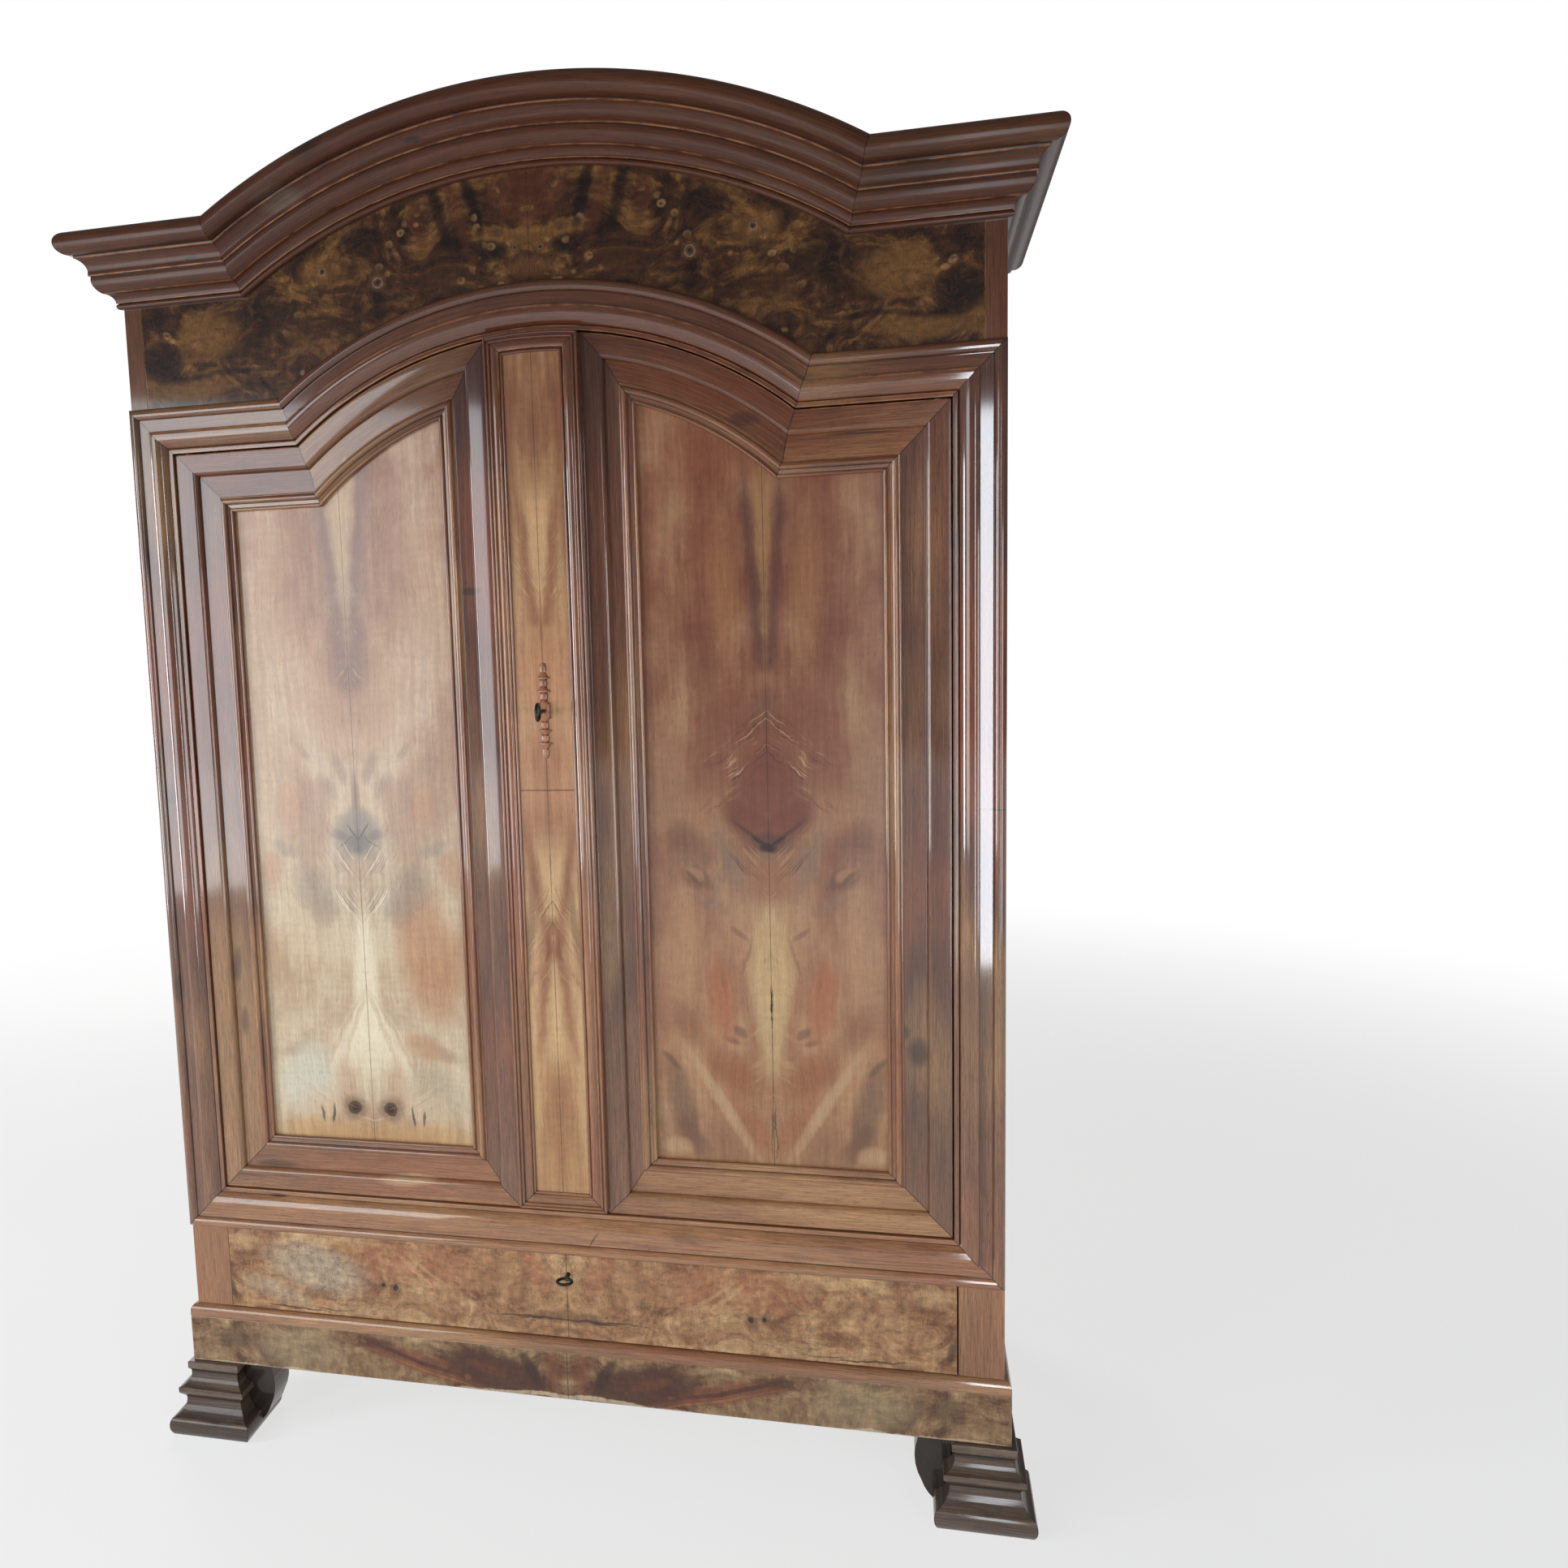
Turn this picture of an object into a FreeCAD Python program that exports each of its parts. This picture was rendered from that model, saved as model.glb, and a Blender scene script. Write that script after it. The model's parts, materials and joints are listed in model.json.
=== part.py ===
"""Walnut wardrobe with an arched cornice, two framed doors, a pilaster and a base drawer.

Millimetres. Z is up and the floor is at zero. The front faces minus Y and X runs to the right.
Heights are counted from the floor. Depths are counted back from the front face of the carcass
and are turned into the part's own Y by the function at().
"""
import FreeCAD, Part
import math
import os

Vector = FreeCAD.Vector
ACROSS = Vector(1, 0, 0)
DEEP = Vector(0, 1, 0)
UP = Vector(0, 0, 1)

# Overall sizes
body_width = 1350.0
body_depth = 550.0
foot_height = 124.0
plinth_height = 82.0
ledge_height = 20.0
drawer_band_height = 146.0
surround_height = 1373.0
frieze_height = 157.0

# One running gap for the doors and drawer, one for glued or seated pieces, one overrun for cuts
door_gap = 2.0
seat_gap = 0.2
overrun = 10.0

# The arches of the doors, surround, frieze and cornice share one centre: the surround's arch takes
# this share of the width and rises by this much, and the frieze is this high over its crown
arch_span_share = 0.6093
arch_rise = 138.0
frieze_crown_height = 158.0
arch_sweep_share = 0.2

# Rounds on bent and mitred runs and on fine beads are cut in flats, each this share of a full turn
arch_flat_share = 0.125
bead_flat_share = 0.16
foot_flat_share = 0.07

# Cornice, from the face of the frieze outwards and from its lower edge upwards
cornice_bead = 9.0
cornice_bead_out = 8.0
cornice_hollow_rise = 13.0
cornice_hollow_out = 13.0
cornice_belly_rise = 24.0
cornice_belly_out = 12.0
cornice_fillet = 3.0
cornice_cove_rise = 22.0
cornice_cove_out = 14.0
cornice_nose_radius = 17.5
cornice_nose_back = 3.5

# Surround, from its outer edge inwards, with heights off the carcass face
surround_bead = 18.0
surround_bead_height = 14.0
surround_flat = 20.0
surround_flat_height = 8.0
surround_ovolo = 28.0
surround_ovolo_height = 16.0
surround_arris = 7.0
surround_arris_height = 8.0
surround_quirk_height = 4.0
surround_width = surround_bead + surround_flat + surround_ovolo + surround_arris

# Carcass timbers
post_width = 67.0
front_post_depth = 50.0
rear_post_width = 50.0
rear_post_depth = 50.0
side_rail_thickness = 25.0
side_top_rail_drop = 56.0
side_middle_rail = 90.0
side_panel_thickness = 12.0
side_panel_setback = 7.0
side_panel_groove = 10.0
board_thickness = 18.0
frieze_thickness = 22.0
frieze_side_show = 30.0
frieze_top_drop = 4.0
front_rail_depth = 40.0
opening_reveal = 6.0
back_rail_width = 90.0
back_rail_thickness = 25.0
back_panel_thickness = 10.0
back_panel_groove = 10.0

# Base
plinth_out = 10.0
plinth_board = 22.0
base_frame_width = 80.0
base_edge_round = 3.0

# Feet
foot_fillet_out = 18.0
foot_fillet_height = 12.0
foot_neck_out = 14.0
foot_neck_height = 12.0
foot_flare_out = 31.0
foot_flare_height = 18.0
foot_band_height = 9.0
foot_step_out = 22.0
foot_step_height = 10.0
foot_toe_out = 42.0
foot_toe_flare_height = 33.0
foot_toe_round = 10.0
foot_width = 78.0
foot_bracket_reach = 54.0
foot_bracket_heel = 42.0
foot_bracket_setback = 8.0
foot_bracket_thickness = 52.0
foot_bracket_shoulder = 20.0
foot_bracket_bulge = 10.0
rear_foot_width = 70.0
rear_foot_taper = 8.0

# Door frames, from the outer edge inwards
door_front = 4.0
door_thickness = 28.0
door_band = 28.0
door_step = 7.0
door_step_depth = 9.0
outer_stile_width = 69.0
inner_stile_width = 56.0
door_rail_width = 69.0
door_arch_rail_width = 65.0
panel_groove_depth = 8.0
panel_thickness = 11.0
panel_setback = 3.0
panel_edge_gap = 1.0

# Moulding that frames each door panel, from the frame inwards
panel_quirk = 3.0
panel_bead = 10.0
panel_bead_height = 8.0
panel_hollow = 6.0
panel_hollow_height = 2.0
panel_fine_bead = 4.0
panel_fine_bead_height = 5.0
panel_moulding_width = panel_quirk + panel_bead + panel_hollow + panel_fine_bead

# Pilaster on the closing edge of the right door
pilaster_half = 72.0
pilaster_lift = 5.0
pilaster_core_front = 10.0
pilaster_fine_bead = 4.0
pilaster_groove = 2.0
pilaster_inner_bead = 3.5
pilaster_band = 13.0
pilaster_frame_height = 9.0
pilaster_groove_height = 6.0
pilaster_band_height = 7.5
pilaster_panel_thickness = 3.0
pilaster_frame_width = 2 * pilaster_fine_bead + 2 * pilaster_groove + pilaster_inner_bead + pilaster_band

# Pivots
pivot_inset = 18.0
pivot_setback = 9.0
pivot_radius = 4.0
pivot_running_gap = 0.06
pivot_plate_length = 40.0
pivot_plate_width = 18.0
pivot_plate_gap = 2.0
pivot_embed = 20.0
pivot_tip_gap = 1.0

# Locks and keys
door_lock_rise = 802.0
lock_case_left = 68.0
lock_case_right = 24.0
lock_case_above = 34.0
lock_case_below = 22.0
lock_case_thickness = 16.0
lock_wall = 2.5
key_radius = 3.0
key_hole_gap = 0.6
keyhole_slot = 12.0
keyhole_slot_width = 4.0
key_chamber = 13.0
key_bit_length = 9.0
key_bit_width = 6.0
key_bit_thickness = 3.0
key_bow_width = 28.0
key_bow_length = 24.0
key_bow_bar = 5.0
key_bow_thickness = 4.5
key_flat_share = 0.08
key_collar_radius = 4.2
key_collar_length = 5.0
door_key_reach = 40.0
drawer_key_reach = 17.0
door_bolt_length = 58.0
door_bolt_height = 10.0
door_bolt_thickness = 6.0
door_bolt_rise = 16.0
bolt_slide_gap = 0.3
keeper_length = 20.0
keeper_wall = 2.5
drawer_lock_drop = 33.0
drawer_lock_half_width = 32.0
drawer_lock_below = 24.0
drawer_lock_thickness = 14.0
drawer_bolt_width = 12.0
drawer_bolt_thickness = 5.0
drawer_bolt_side = 16.0
drawer_bolt_length = 24.0
drawer_bolt_sink = 3.0
drawer_bolt_throw = 10.0
mortise_gap = 1.0

# Carved escutcheon, half outline as shares of its half length and half width
escutcheon_half_length = 73.0
escutcheon_half_width = 11.0
escutcheon_thickness = 6.0

# Bolts inside the left door
door_slide_length = 130.0
door_slide_width = 12.0
door_slide_thickness = 6.0
door_slide_throw = 20.0
door_slide_inset = 21.0
door_slide_knob_radius = 4.5
door_slide_knob_length = 9.0
door_slide_rest_gap = 3.0
slide_guide_wall = 2.0
slide_guide_height = 14.0
slide_guide_inset_share = 0.22
slide_keeper_height = 20.0
slide_keeper_rise = 5.0

# Drawer
drawer_front_thickness = 22.0
drawer_front_proud = 3.0
drawer_side_thickness = 12.0
drawer_side_inset = 18.0
drawer_side_lift = 12.0
drawer_side_drop = 9.0
drawer_back_gap = 90.0
drawer_bottom_thickness = 8.0
drawer_bottom_lift = 10.0
drawer_groove = 5.0
runner_guide_height = 60.0
runner_gap = 0.3
front_edge_round = 1.5

# Inside fittings
shelf_drop = 202.0
shelf_setback = 60.0
cleat_thickness = 22.0
cleat_height = 80.0
rail_radius = 14.0
rail_socket_half = 22.0
rail_socket_length = 14.0
rail_socket_wall = 3.0
rail_drop = 46.0
rail_end_gap = 1.0
rail_fit = 0.05

# Levels and places worked out from the sizes above
front = (cornice_nose_radius + cornice_nose_back + cornice_bead_out + cornice_hollow_out
         + cornice_belly_out + cornice_fillet + cornice_cove_out - body_depth) / 2
half_body = body_width / 2
half_opening = half_body - post_width
ledge_top = foot_height + plinth_height + ledge_height
surround_bottom = ledge_top + drawer_band_height
surround_top = surround_bottom + surround_height
cornice_bottom = surround_top + frieze_height
cornice_rise = (cornice_bead + cornice_hollow_rise + cornice_belly_rise + cornice_fillet
                + cornice_cove_rise + cornice_fillet + 2 * cornice_nose_radius)
arch_half_span = half_body * arch_span_share
surround_arch_radius = (arch_half_span ** 2 + arch_rise ** 2) / (2 * arch_rise)
cornice_arch_radius = surround_arch_radius + frieze_crown_height
arch_centre = surround_top + arch_rise - surround_arch_radius
carcass_top = cornice_bottom + cornice_rise - frieze_top_drop
half_frieze = half_body - frieze_side_show
opening_bottom = surround_bottom + surround_width - opening_reveal
opening_top = surround_top - surround_width + opening_reveal
opening_radius = surround_arch_radius - surround_width + opening_reveal
door_out = half_body - surround_width - door_gap
door_bottom = surround_bottom + surround_width + door_gap
door_top = surround_top - surround_width - door_gap
door_radius = surround_arch_radius - surround_width - door_gap
door_back = door_thickness - door_front
left_inner = pilaster_half + door_gap
pivot_x = door_out - pivot_inset
pivot_y = pivot_setback - door_front
inner_side = half_body - side_rail_thickness
rear_post_front = body_depth - rear_post_depth
pilaster_panel_face = pilaster_core_front + pilaster_panel_thickness
door_lock_height = door_bottom + door_lock_rise
shelf_height = cornice_bottom - shelf_drop
drawer_depth = body_depth - drawer_back_gap
drawer_top = surround_bottom - door_gap
drawer_bottom_edge = ledge_top + door_gap
drawer_lock_height = drawer_top - drawer_lock_drop
drawer_back_of_front = drawer_front_thickness - drawer_front_proud


def at(x, y, z):
    """Give the point at x across, y behind the carcass face and z above the floor."""
    return Vector(x, front + y, z)


def box(x0, x1, y0, y1, z0, z1):
    """Give a squared timber between two corners."""
    return Part.makeBox(x1 - x0, y1 - y0, z1 - z0, at(x0, y0, z0))


def rounded(arc, flat_share):
    """Give the edges of an arc: the arc itself, or flats that each take a share of a turn."""
    if not flat_share:
        return [arc.toShape()]
    turn = arc.LastParameter - arc.FirstParameter
    flats = max(2, round(turn / (2 * math.pi * flat_share)))
    points = arc.discretize(Number=flats + 1)
    return [Part.LineSegment(a, b).toShape() for a, b in zip(points[:-1], points[1:])]


def outline(place, start, *steps, flat_share=0):
    """Give a face whose edge runs from start through the steps and back.

    A step is a point for a straight edge, or a pair of points for an arc: one that it passes
    and the one where it ends. The function place turns each point into a place in the part.
    With a flat_share, arcs are cut in flats.
    """
    edges = []
    here = start
    for step in steps:
        if isinstance(step[0], tuple):
            arc = Part.Arc(place(*here), place(*step[0]), place(*step[1]))
            edges += rounded(arc, flat_share)
            here = step[1]
        else:
            edges.append(Part.LineSegment(place(*here), place(*step)).toShape())
            here = step
    if here != start:
        edges.append(Part.LineSegment(place(*here), place(*start)).toShape())
    return Part.Face(Part.Wire(edges))


def quarter(start, end, leaves_level=False):
    """Give the step of a quarter round that leaves start upright, or level, and ends at end."""
    share = math.sqrt(0.5)
    dx = end[0] - start[0]
    dz = end[1] - start[1]
    if leaves_level:
        return (start[0] + dx * share, end[1] - dz * share), end
    return (end[0] - dx * share, start[1] + dz * share), end


def elevation(y):
    """Give a placing function for outlines drawn in front view at depth y."""
    def place(x, z):
        return at(x, y, z)
    return place


def slab(points, y0, y1):
    """Give the solid of a front-view outline between two depths."""
    return outline(elevation(y0), points[0], *points[1:]).extrude(DEEP * (y1 - y0))


def mirrored(shape):
    """Give the same piece for the left half."""
    return shape.mirror(Vector(0, 0, 0), ACROSS)


def for_side(shape, side):
    """Give a piece drawn for the right half on the side asked for, 1 right or -1 left."""
    return shape if side > 0 else mirrored(shape)


def along_x(face, x0, x1):
    """Give a run of a section drawn at x = 0 between two places across."""
    run = face.extrude(ACROSS * (x1 - x0))
    run.translate(ACROSS * x0)
    return run


def along_arch(face):
    """Give a section drawn at x = 0 swept round the common centre to both sides."""
    centre = at(0, 0, arch_centre)
    sweep = 360 * arch_sweep_share
    face.rotate(centre, DEEP, -sweep)
    return face.revolve(centre, DEEP, 2 * sweep)


def arch_x(radius, level):
    """Give how far out an arch of this radius meets a level."""
    return math.sqrt(radius ** 2 - (level - arch_centre) ** 2)


def arch_z(radius, x):
    """Give the height of an arch of this radius at a distance from the middle."""
    return arch_centre + math.sqrt(radius ** 2 - x ** 2)


def drill(x, z, radius, y0, y1):
    """Give a round cutter that runs front to back."""
    return Part.makeCylinder(radius, y1 - y0, at(x, y0, z), DEEP)


def keyhole(x, z, y0, y1):
    """Give the cutter of a keyhole: a round head and the slot for the bit under it."""
    slot = box(x - keyhole_slot_width / 2, x + keyhole_slot_width / 2, y0, y1, z - keyhole_slot, z)
    return drill(x, z, key_radius + key_hole_gap, y0, y1).fuse(slot)


def save(name, *shapes):
    """Write one node, a single solid or a group of separate solids."""
    solids = [solid for shape in shapes for solid in shape.Solids]
    group = solids[0] if len(solids) == 1 else Part.makeCompound(solids)
    group.exportStep("parts/" + name + ".step")
    print(name, len(solids), round(group.Volume))


# Cornice

def cornice_section(place, flat_share=0):
    """Draw the cornice: bead, hollow, belly, fillet, cove and a thick rounded nose."""
    hollow_foot = cornice_bead_out
    hollow_top = hollow_foot + cornice_hollow_out
    belly_top = hollow_top + cornice_belly_out
    cove_foot = belly_top + cornice_fillet
    cove_top = cove_foot + cornice_cove_out
    nose = cove_top + cornice_nose_back
    q1 = cornice_bead
    q2 = q1 + cornice_hollow_rise
    q3 = q2 + cornice_belly_rise
    q4 = q3 + cornice_fillet
    q5 = q4 + cornice_cove_rise
    q6 = q5 + cornice_fillet
    return outline(
        place, (0, 0),
        (hollow_foot / 2, 0),
        ((hollow_foot, q1 / 2), (hollow_foot / 2, q1)),
        (hollow_foot, q1),
        quarter((hollow_foot, q1), (hollow_top, q2)),
        quarter((hollow_top, q2), (belly_top, q3), leaves_level=True),
        (cove_foot, q3),
        (cove_foot, q4),
        quarter((cove_foot, q4), (cove_top, q5)),
        (cove_top, q6),
        (nose, q6),
        ((nose + cornice_nose_radius, q6 + cornice_nose_radius), (nose, cornice_rise)),
        (0, cornice_rise), flat_share=flat_share)


def front_cornice(out, up):
    return at(0, -out, cornice_bottom + up)


def arched_cornice(out, up):
    return at(0, -out, arch_centre + cornice_arch_radius + up)


def side_cornice(out, up):
    return at(half_body + out, 0, cornice_bottom + up)


def cornice_joint():
    """Give the two ends of the mitre where the straight run meets the arch."""
    low = (arch_x(cornice_arch_radius, cornice_bottom), cornice_bottom)
    high = (arch_x(cornice_arch_radius + cornice_rise, cornice_bottom + cornice_rise),
            cornice_bottom + cornice_rise)
    return low, high


def stretched(low, high, beyond):
    """Give both ends of a line made longer by the same length each way."""
    run = math.hypot(high[0] - low[0], high[1] - low[1])
    dx = (high[0] - low[0]) / run * beyond
    dz = (high[1] - low[1]) / run * beyond
    return (low[0] - dx, low[1] - dz), (high[0] + dx, high[1] + dz)


def mitre_wedge(reach, height):
    """Give the cutter that leaves the front run of a corner, seen from above."""
    corner = at(half_body, 0, height)
    far = Vector(corner.x + reach, corner.y - reach, corner.z)
    back = Vector(corner.x + reach, corner.y + reach, corner.z)
    near = Vector(corner.x, corner.y + reach, corner.z)
    return Part.Face(Part.makePolygon([corner, far, back, near, corner]))


def make_cornice():
    """Build the arched middle, two straight ends and two side returns, all mitred."""
    low, high = stretched(*cornice_joint(), cornice_rise / 2)
    out = half_body + cornice_rise
    top = arch_centre + cornice_arch_radius + 2 * cornice_rise
    depth = cornice_rise
    keep_arch = slab([(-low[0], low[1]), low, high, (high[0], top), (-high[0], top),
                      (-high[0], high[1])], -depth, overrun)
    arch = along_arch(cornice_section(arched_cornice, arch_flat_share))
    save("cornice_arch", arch.common(keep_arch))
    keep_end = slab([low, high, (out, high[1]), (out, low[1])], -depth, overrun)
    beyond = mitre_wedge(2 * cornice_rise, cornice_bottom - overrun)
    beyond = beyond.extrude(UP * (cornice_rise + 2 * overrun))
    end = along_x(cornice_section(front_cornice), 0, out).common(keep_end).cut(beyond)
    run = cornice_section(side_cornice).extrude(DEEP * (body_depth + depth))
    run.translate(DEEP * -depth)
    side = run.common(beyond.fuse(box(half_body, out, cornice_rise, body_depth, cornice_bottom,
                                      cornice_bottom + cornice_rise)))
    side = side.removeSplitter()
    save("cornice_end_right", end)
    save("cornice_end_left", mirrored(end))
    save("cornice_returns", side, mirrored(side))


# Surround of the doors

def surround_section(place, flat_share=0):
    """Draw the surround: outer bead, flat, a sharp-edged ovolo and a small inner arris."""
    t1 = surround_bead
    t2 = t1 + surround_flat
    t3 = t2 + surround_ovolo
    t4 = surround_width
    return outline(
        place, (0, 0),
        (0, surround_quirk_height),
        ((t1 / 2, surround_bead_height), (t1, surround_flat_height)),
        (t2, surround_flat_height),
        (t2, surround_ovolo_height),
        quarter((t2, surround_ovolo_height), (t3, surround_quirk_height), leaves_level=True),
        (t3, surround_arris_height),
        (t4, surround_arris_height),
        (t4, 0), flat_share=flat_share)


def surround_over(across, up):
    return at(0, -up, surround_top - across)


def surround_round(across, up):
    return at(0, -up, arch_centre + surround_arch_radius - across)


def surround_under(across, up):
    return at(0, -up, surround_bottom + across)


def surround_beside(across, up):
    return at(half_body - across, -up, surround_bottom)


def make_surround():
    """Build the moulding round the doors in six mitred lengths."""
    w = surround_width
    proud = surround_ovolo_height + overrun
    joint_out = (arch_x(surround_arch_radius, surround_top), surround_top)
    joint_in = (arch_x(surround_arch_radius - w, surround_top - w), surround_top - w)
    low, high = stretched(joint_in, joint_out, w)
    top = arch_centre + surround_arch_radius + w
    keep = slab([(-low[0], low[1]), low, high, (high[0], top), (-high[0], top),
                 (-high[0], high[1])], -proud, 0)
    arch = along_arch(surround_section(surround_round, arch_flat_share))
    save("surround_arch", arch.common(keep))
    keep = slab([joint_in, joint_out, (half_body, surround_top), (half_body - w, surround_top - w)],
                -proud, 0)
    head = along_x(surround_section(surround_over), 0, half_body).common(keep)
    save("surround_heads", head, mirrored(head))
    keep = slab([(half_body, surround_bottom), (half_body, surround_top),
                 (half_body - w, surround_top - w), (half_body - w, surround_bottom + w)], -proud, 0)
    jamb = surround_section(surround_beside).extrude(UP * surround_height).common(keep)
    save("surround_side_right", jamb)
    save("surround_side_left", mirrored(jamb))
    keep = slab([(-half_body, surround_bottom), (half_body, surround_bottom),
                 (half_body - w, surround_bottom + w), (w - half_body, surround_bottom + w)], -proud, 0)
    save("surround_bottom", along_x(surround_section(surround_under), -half_body, half_body).common(keep))


# Carcass

def arched_board(low_half, high_half, low, high, low_radius, high_radius, y0, y1):
    """Give a board whose lower and upper edges both rise into the common arch."""
    low_joint = arch_x(low_radius, low)
    high_joint = arch_x(high_radius, high)
    points = [(-low_half, low), (-low_joint, low),
              ((0, arch_centre + low_radius), (low_joint, low)), (low_half, low),
              (high_half, high), (high_joint, high),
              ((0, arch_centre + high_radius), (-high_joint, high)), (-high_half, high)]
    return slab(points, y0, y1)


def frieze_recess():
    """Give the notch in a front post that the end of the frieze lies in."""
    return box(half_opening - overrun, half_frieze, -overrun, frieze_thickness, opening_top,
               carcass_top + overrun)


def make_posts():
    """Build the two front posts, notched for the frieze, and the two rear posts."""
    post = box(half_opening, half_body, 0, front_post_depth, ledge_top, carcass_top)
    post = post.cut(frieze_recess())
    save("front_post_right", post)
    save("front_post_left", mirrored(post))
    rear = box(half_body - rear_post_width, half_body, rear_post_front, body_depth, ledge_top, carcass_top)
    save("rear_posts", rear, mirrored(rear))


def make_frieze():
    """Build the arched board over the doors, whose top edge carries the cornice."""
    top = carcass_top
    radius = cornice_arch_radius + cornice_rise - frieze_top_drop
    save("frieze_board", arched_board(half_frieze, half_frieze, opening_top, top, opening_radius,
                                      radius, 0, frieze_thickness))


def side_levels():
    """Give the lower and upper edges of the three side rails."""
    middle = (opening_bottom + cornice_bottom) / 2
    return [(ledge_top, opening_bottom),
            (middle - side_middle_rail / 2, middle + side_middle_rail / 2),
            (cornice_bottom - side_top_rail_drop, carcass_top)]


def make_sides():
    """Build rails and fielded panels between the front and rear posts of each side."""
    rails = []
    panels = []
    levels = side_levels()
    panel_out = half_body - side_panel_setback
    panel_in = panel_out - side_panel_thickness
    g = side_panel_groove
    for below, above in zip(levels[:-1], levels[1:]):
        panels.append(box(panel_in, panel_out, front_post_depth, rear_post_front,
                          below[1] - g, above[0] + g))
    for low, high in levels:
        rail = box(inner_side, half_body, front_post_depth, rear_post_front, low, high)
        for panel in panels:
            rail = rail.cut(panel)
        rails.append(rail)
    save("side_rails", *rails, *[mirrored(rail) for rail in rails])
    save("side_panels", *panels, *[mirrored(panel) for panel in panels])


def make_back():
    """Build the framed back: three rails, a muntin in two lengths and four panels."""
    half = half_body - rear_post_width
    y0 = body_depth - back_rail_thickness
    levels = side_levels()
    rails = [box(-half, half, y0, body_depth, low, high) for low, high in levels]
    muntin = back_rail_width / 2
    g = back_panel_groove
    middle = y0 + (back_rail_thickness - back_panel_thickness) / 2
    stiles = []
    panels = []
    for below, above in zip(levels[:-1], levels[1:]):
        stiles.append(box(-muntin, muntin, y0, body_depth, below[1], above[0]))
        panel = box(muntin - g, half, middle, middle + back_panel_thickness, below[1] - g, above[0] + g)
        panels += [panel, mirrored(panel)]
    frame = []
    for timber in rails + stiles:
        for panel in panels:
            timber = timber.cut(panel)
        frame.append(timber)
    save("back_frame", *frame)
    save("back_panels", *panels)


def notched_board(low, thickness, y0, y1):
    """Give a board that fits between the sides and round the four posts."""
    g = seat_gap
    board = box(-inner_side + g, inner_side - g, y0, y1, low, low + thickness)
    front_cut = box(half_opening - g, half_body, -overrun, front_post_depth + g, low - overrun,
                    low + thickness + overrun)
    rear_cut = box(half_body - rear_post_width - g, half_body, rear_post_front - g,
                   body_depth, low - overrun, low + thickness + overrun)
    for cutter in (front_cut, rear_cut):
        board = board.cut(cutter).cut(mirrored(cutter))
    return board


def make_boards():
    """Build the cupboard floor, the top board and the front rail between drawer and doors."""
    back = body_depth - back_rail_thickness - seat_gap
    floor = notched_board(opening_bottom - board_thickness, board_thickness,
                          front_rail_depth + seat_gap, back)
    save("floor_board", floor)
    save("top_board", notched_board(cornice_bottom, board_thickness, frieze_thickness + seat_gap, back))
    rail = box(-half_opening, half_opening, 0, front_rail_depth, surround_bottom, opening_bottom)
    rail = rail.cut(slide_mortise()).cut(drawer_bolt_mortise())
    save("front_rail", rail)


# Base

def base_edge(place):
    """Draw the base frame's front edge with its rounded top."""
    r = plinth_out
    return outline(
        place, (r, 0),
        (r, ledge_height - r),
        quarter((r, ledge_height - r), (0, ledge_height)),
        (-base_frame_width, ledge_height),
        (-base_frame_width, 0))


def base_front(out, up):
    return at(0, -out, ledge_top - ledge_height + up)


def base_beside(out, up):
    return at(half_body + out, 0, ledge_top - ledge_height + up)


def corner_wedge(z0, z1, inward, outward):
    """Give the space in front of the diagonal through a front corner of the body."""
    a = at(half_body + outward, -outward, z0)
    b = at(half_body - inward, inward, z0)
    c = at(0, inward, z0)
    d = at(0, -outward, z0)
    return Part.Face(Part.makePolygon([a, b, c, d, a])).extrude(UP * (z1 - z0))


def make_base():
    """Build the ledge frame with its rounded edge and the plinth boards under it."""
    z0 = foot_height
    z1 = z0 + plinth_height
    wedge = corner_wedge(z0 - overrun, ledge_top + overrun, base_frame_width, plinth_out + overrun)
    both = wedge.fuse(mirrored(wedge)).removeSplitter()
    out = half_body + plinth_out
    fore = along_x(base_edge(base_front), -out, out).common(both)
    run = base_edge(base_beside).extrude(DEEP * (body_depth + plinth_out))
    run.translate(DEEP * -plinth_out)
    flank = run.cut(both)
    inner = half_body - base_frame_width
    rear = box(-inner, inner, body_depth - base_frame_width, body_depth, z1, ledge_top)
    save("ledge_frame", fore, flank, mirrored(flank), rear)
    fore = box(-out, out, -plinth_out, plinth_board - plinth_out, z0, z1)
    fore = rounded_low_edge(fore, -plinth_out, z0).common(both)
    flank = box(out - plinth_board, out, -plinth_out, body_depth, z0, z1)
    flank = flank.cut(both)
    rear = box(plinth_board - out, out - plinth_board, body_depth - plinth_board, body_depth, z0, z1)
    save("plinth_front", fore)
    save("plinth_sides", flank, mirrored(flank), rear)


def rounded_low_edge(board, y, z):
    """Ease the lower front arris of a board whose face stands at depth y."""
    picked = [edge for edge in board.Edges
              if all(abs(v.Y - (front + y)) < seat_gap and abs(v.Z - z) < seat_gap for v in edge.Vertexes)]
    return board.makeFillet(base_edge_round, picked)


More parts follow.
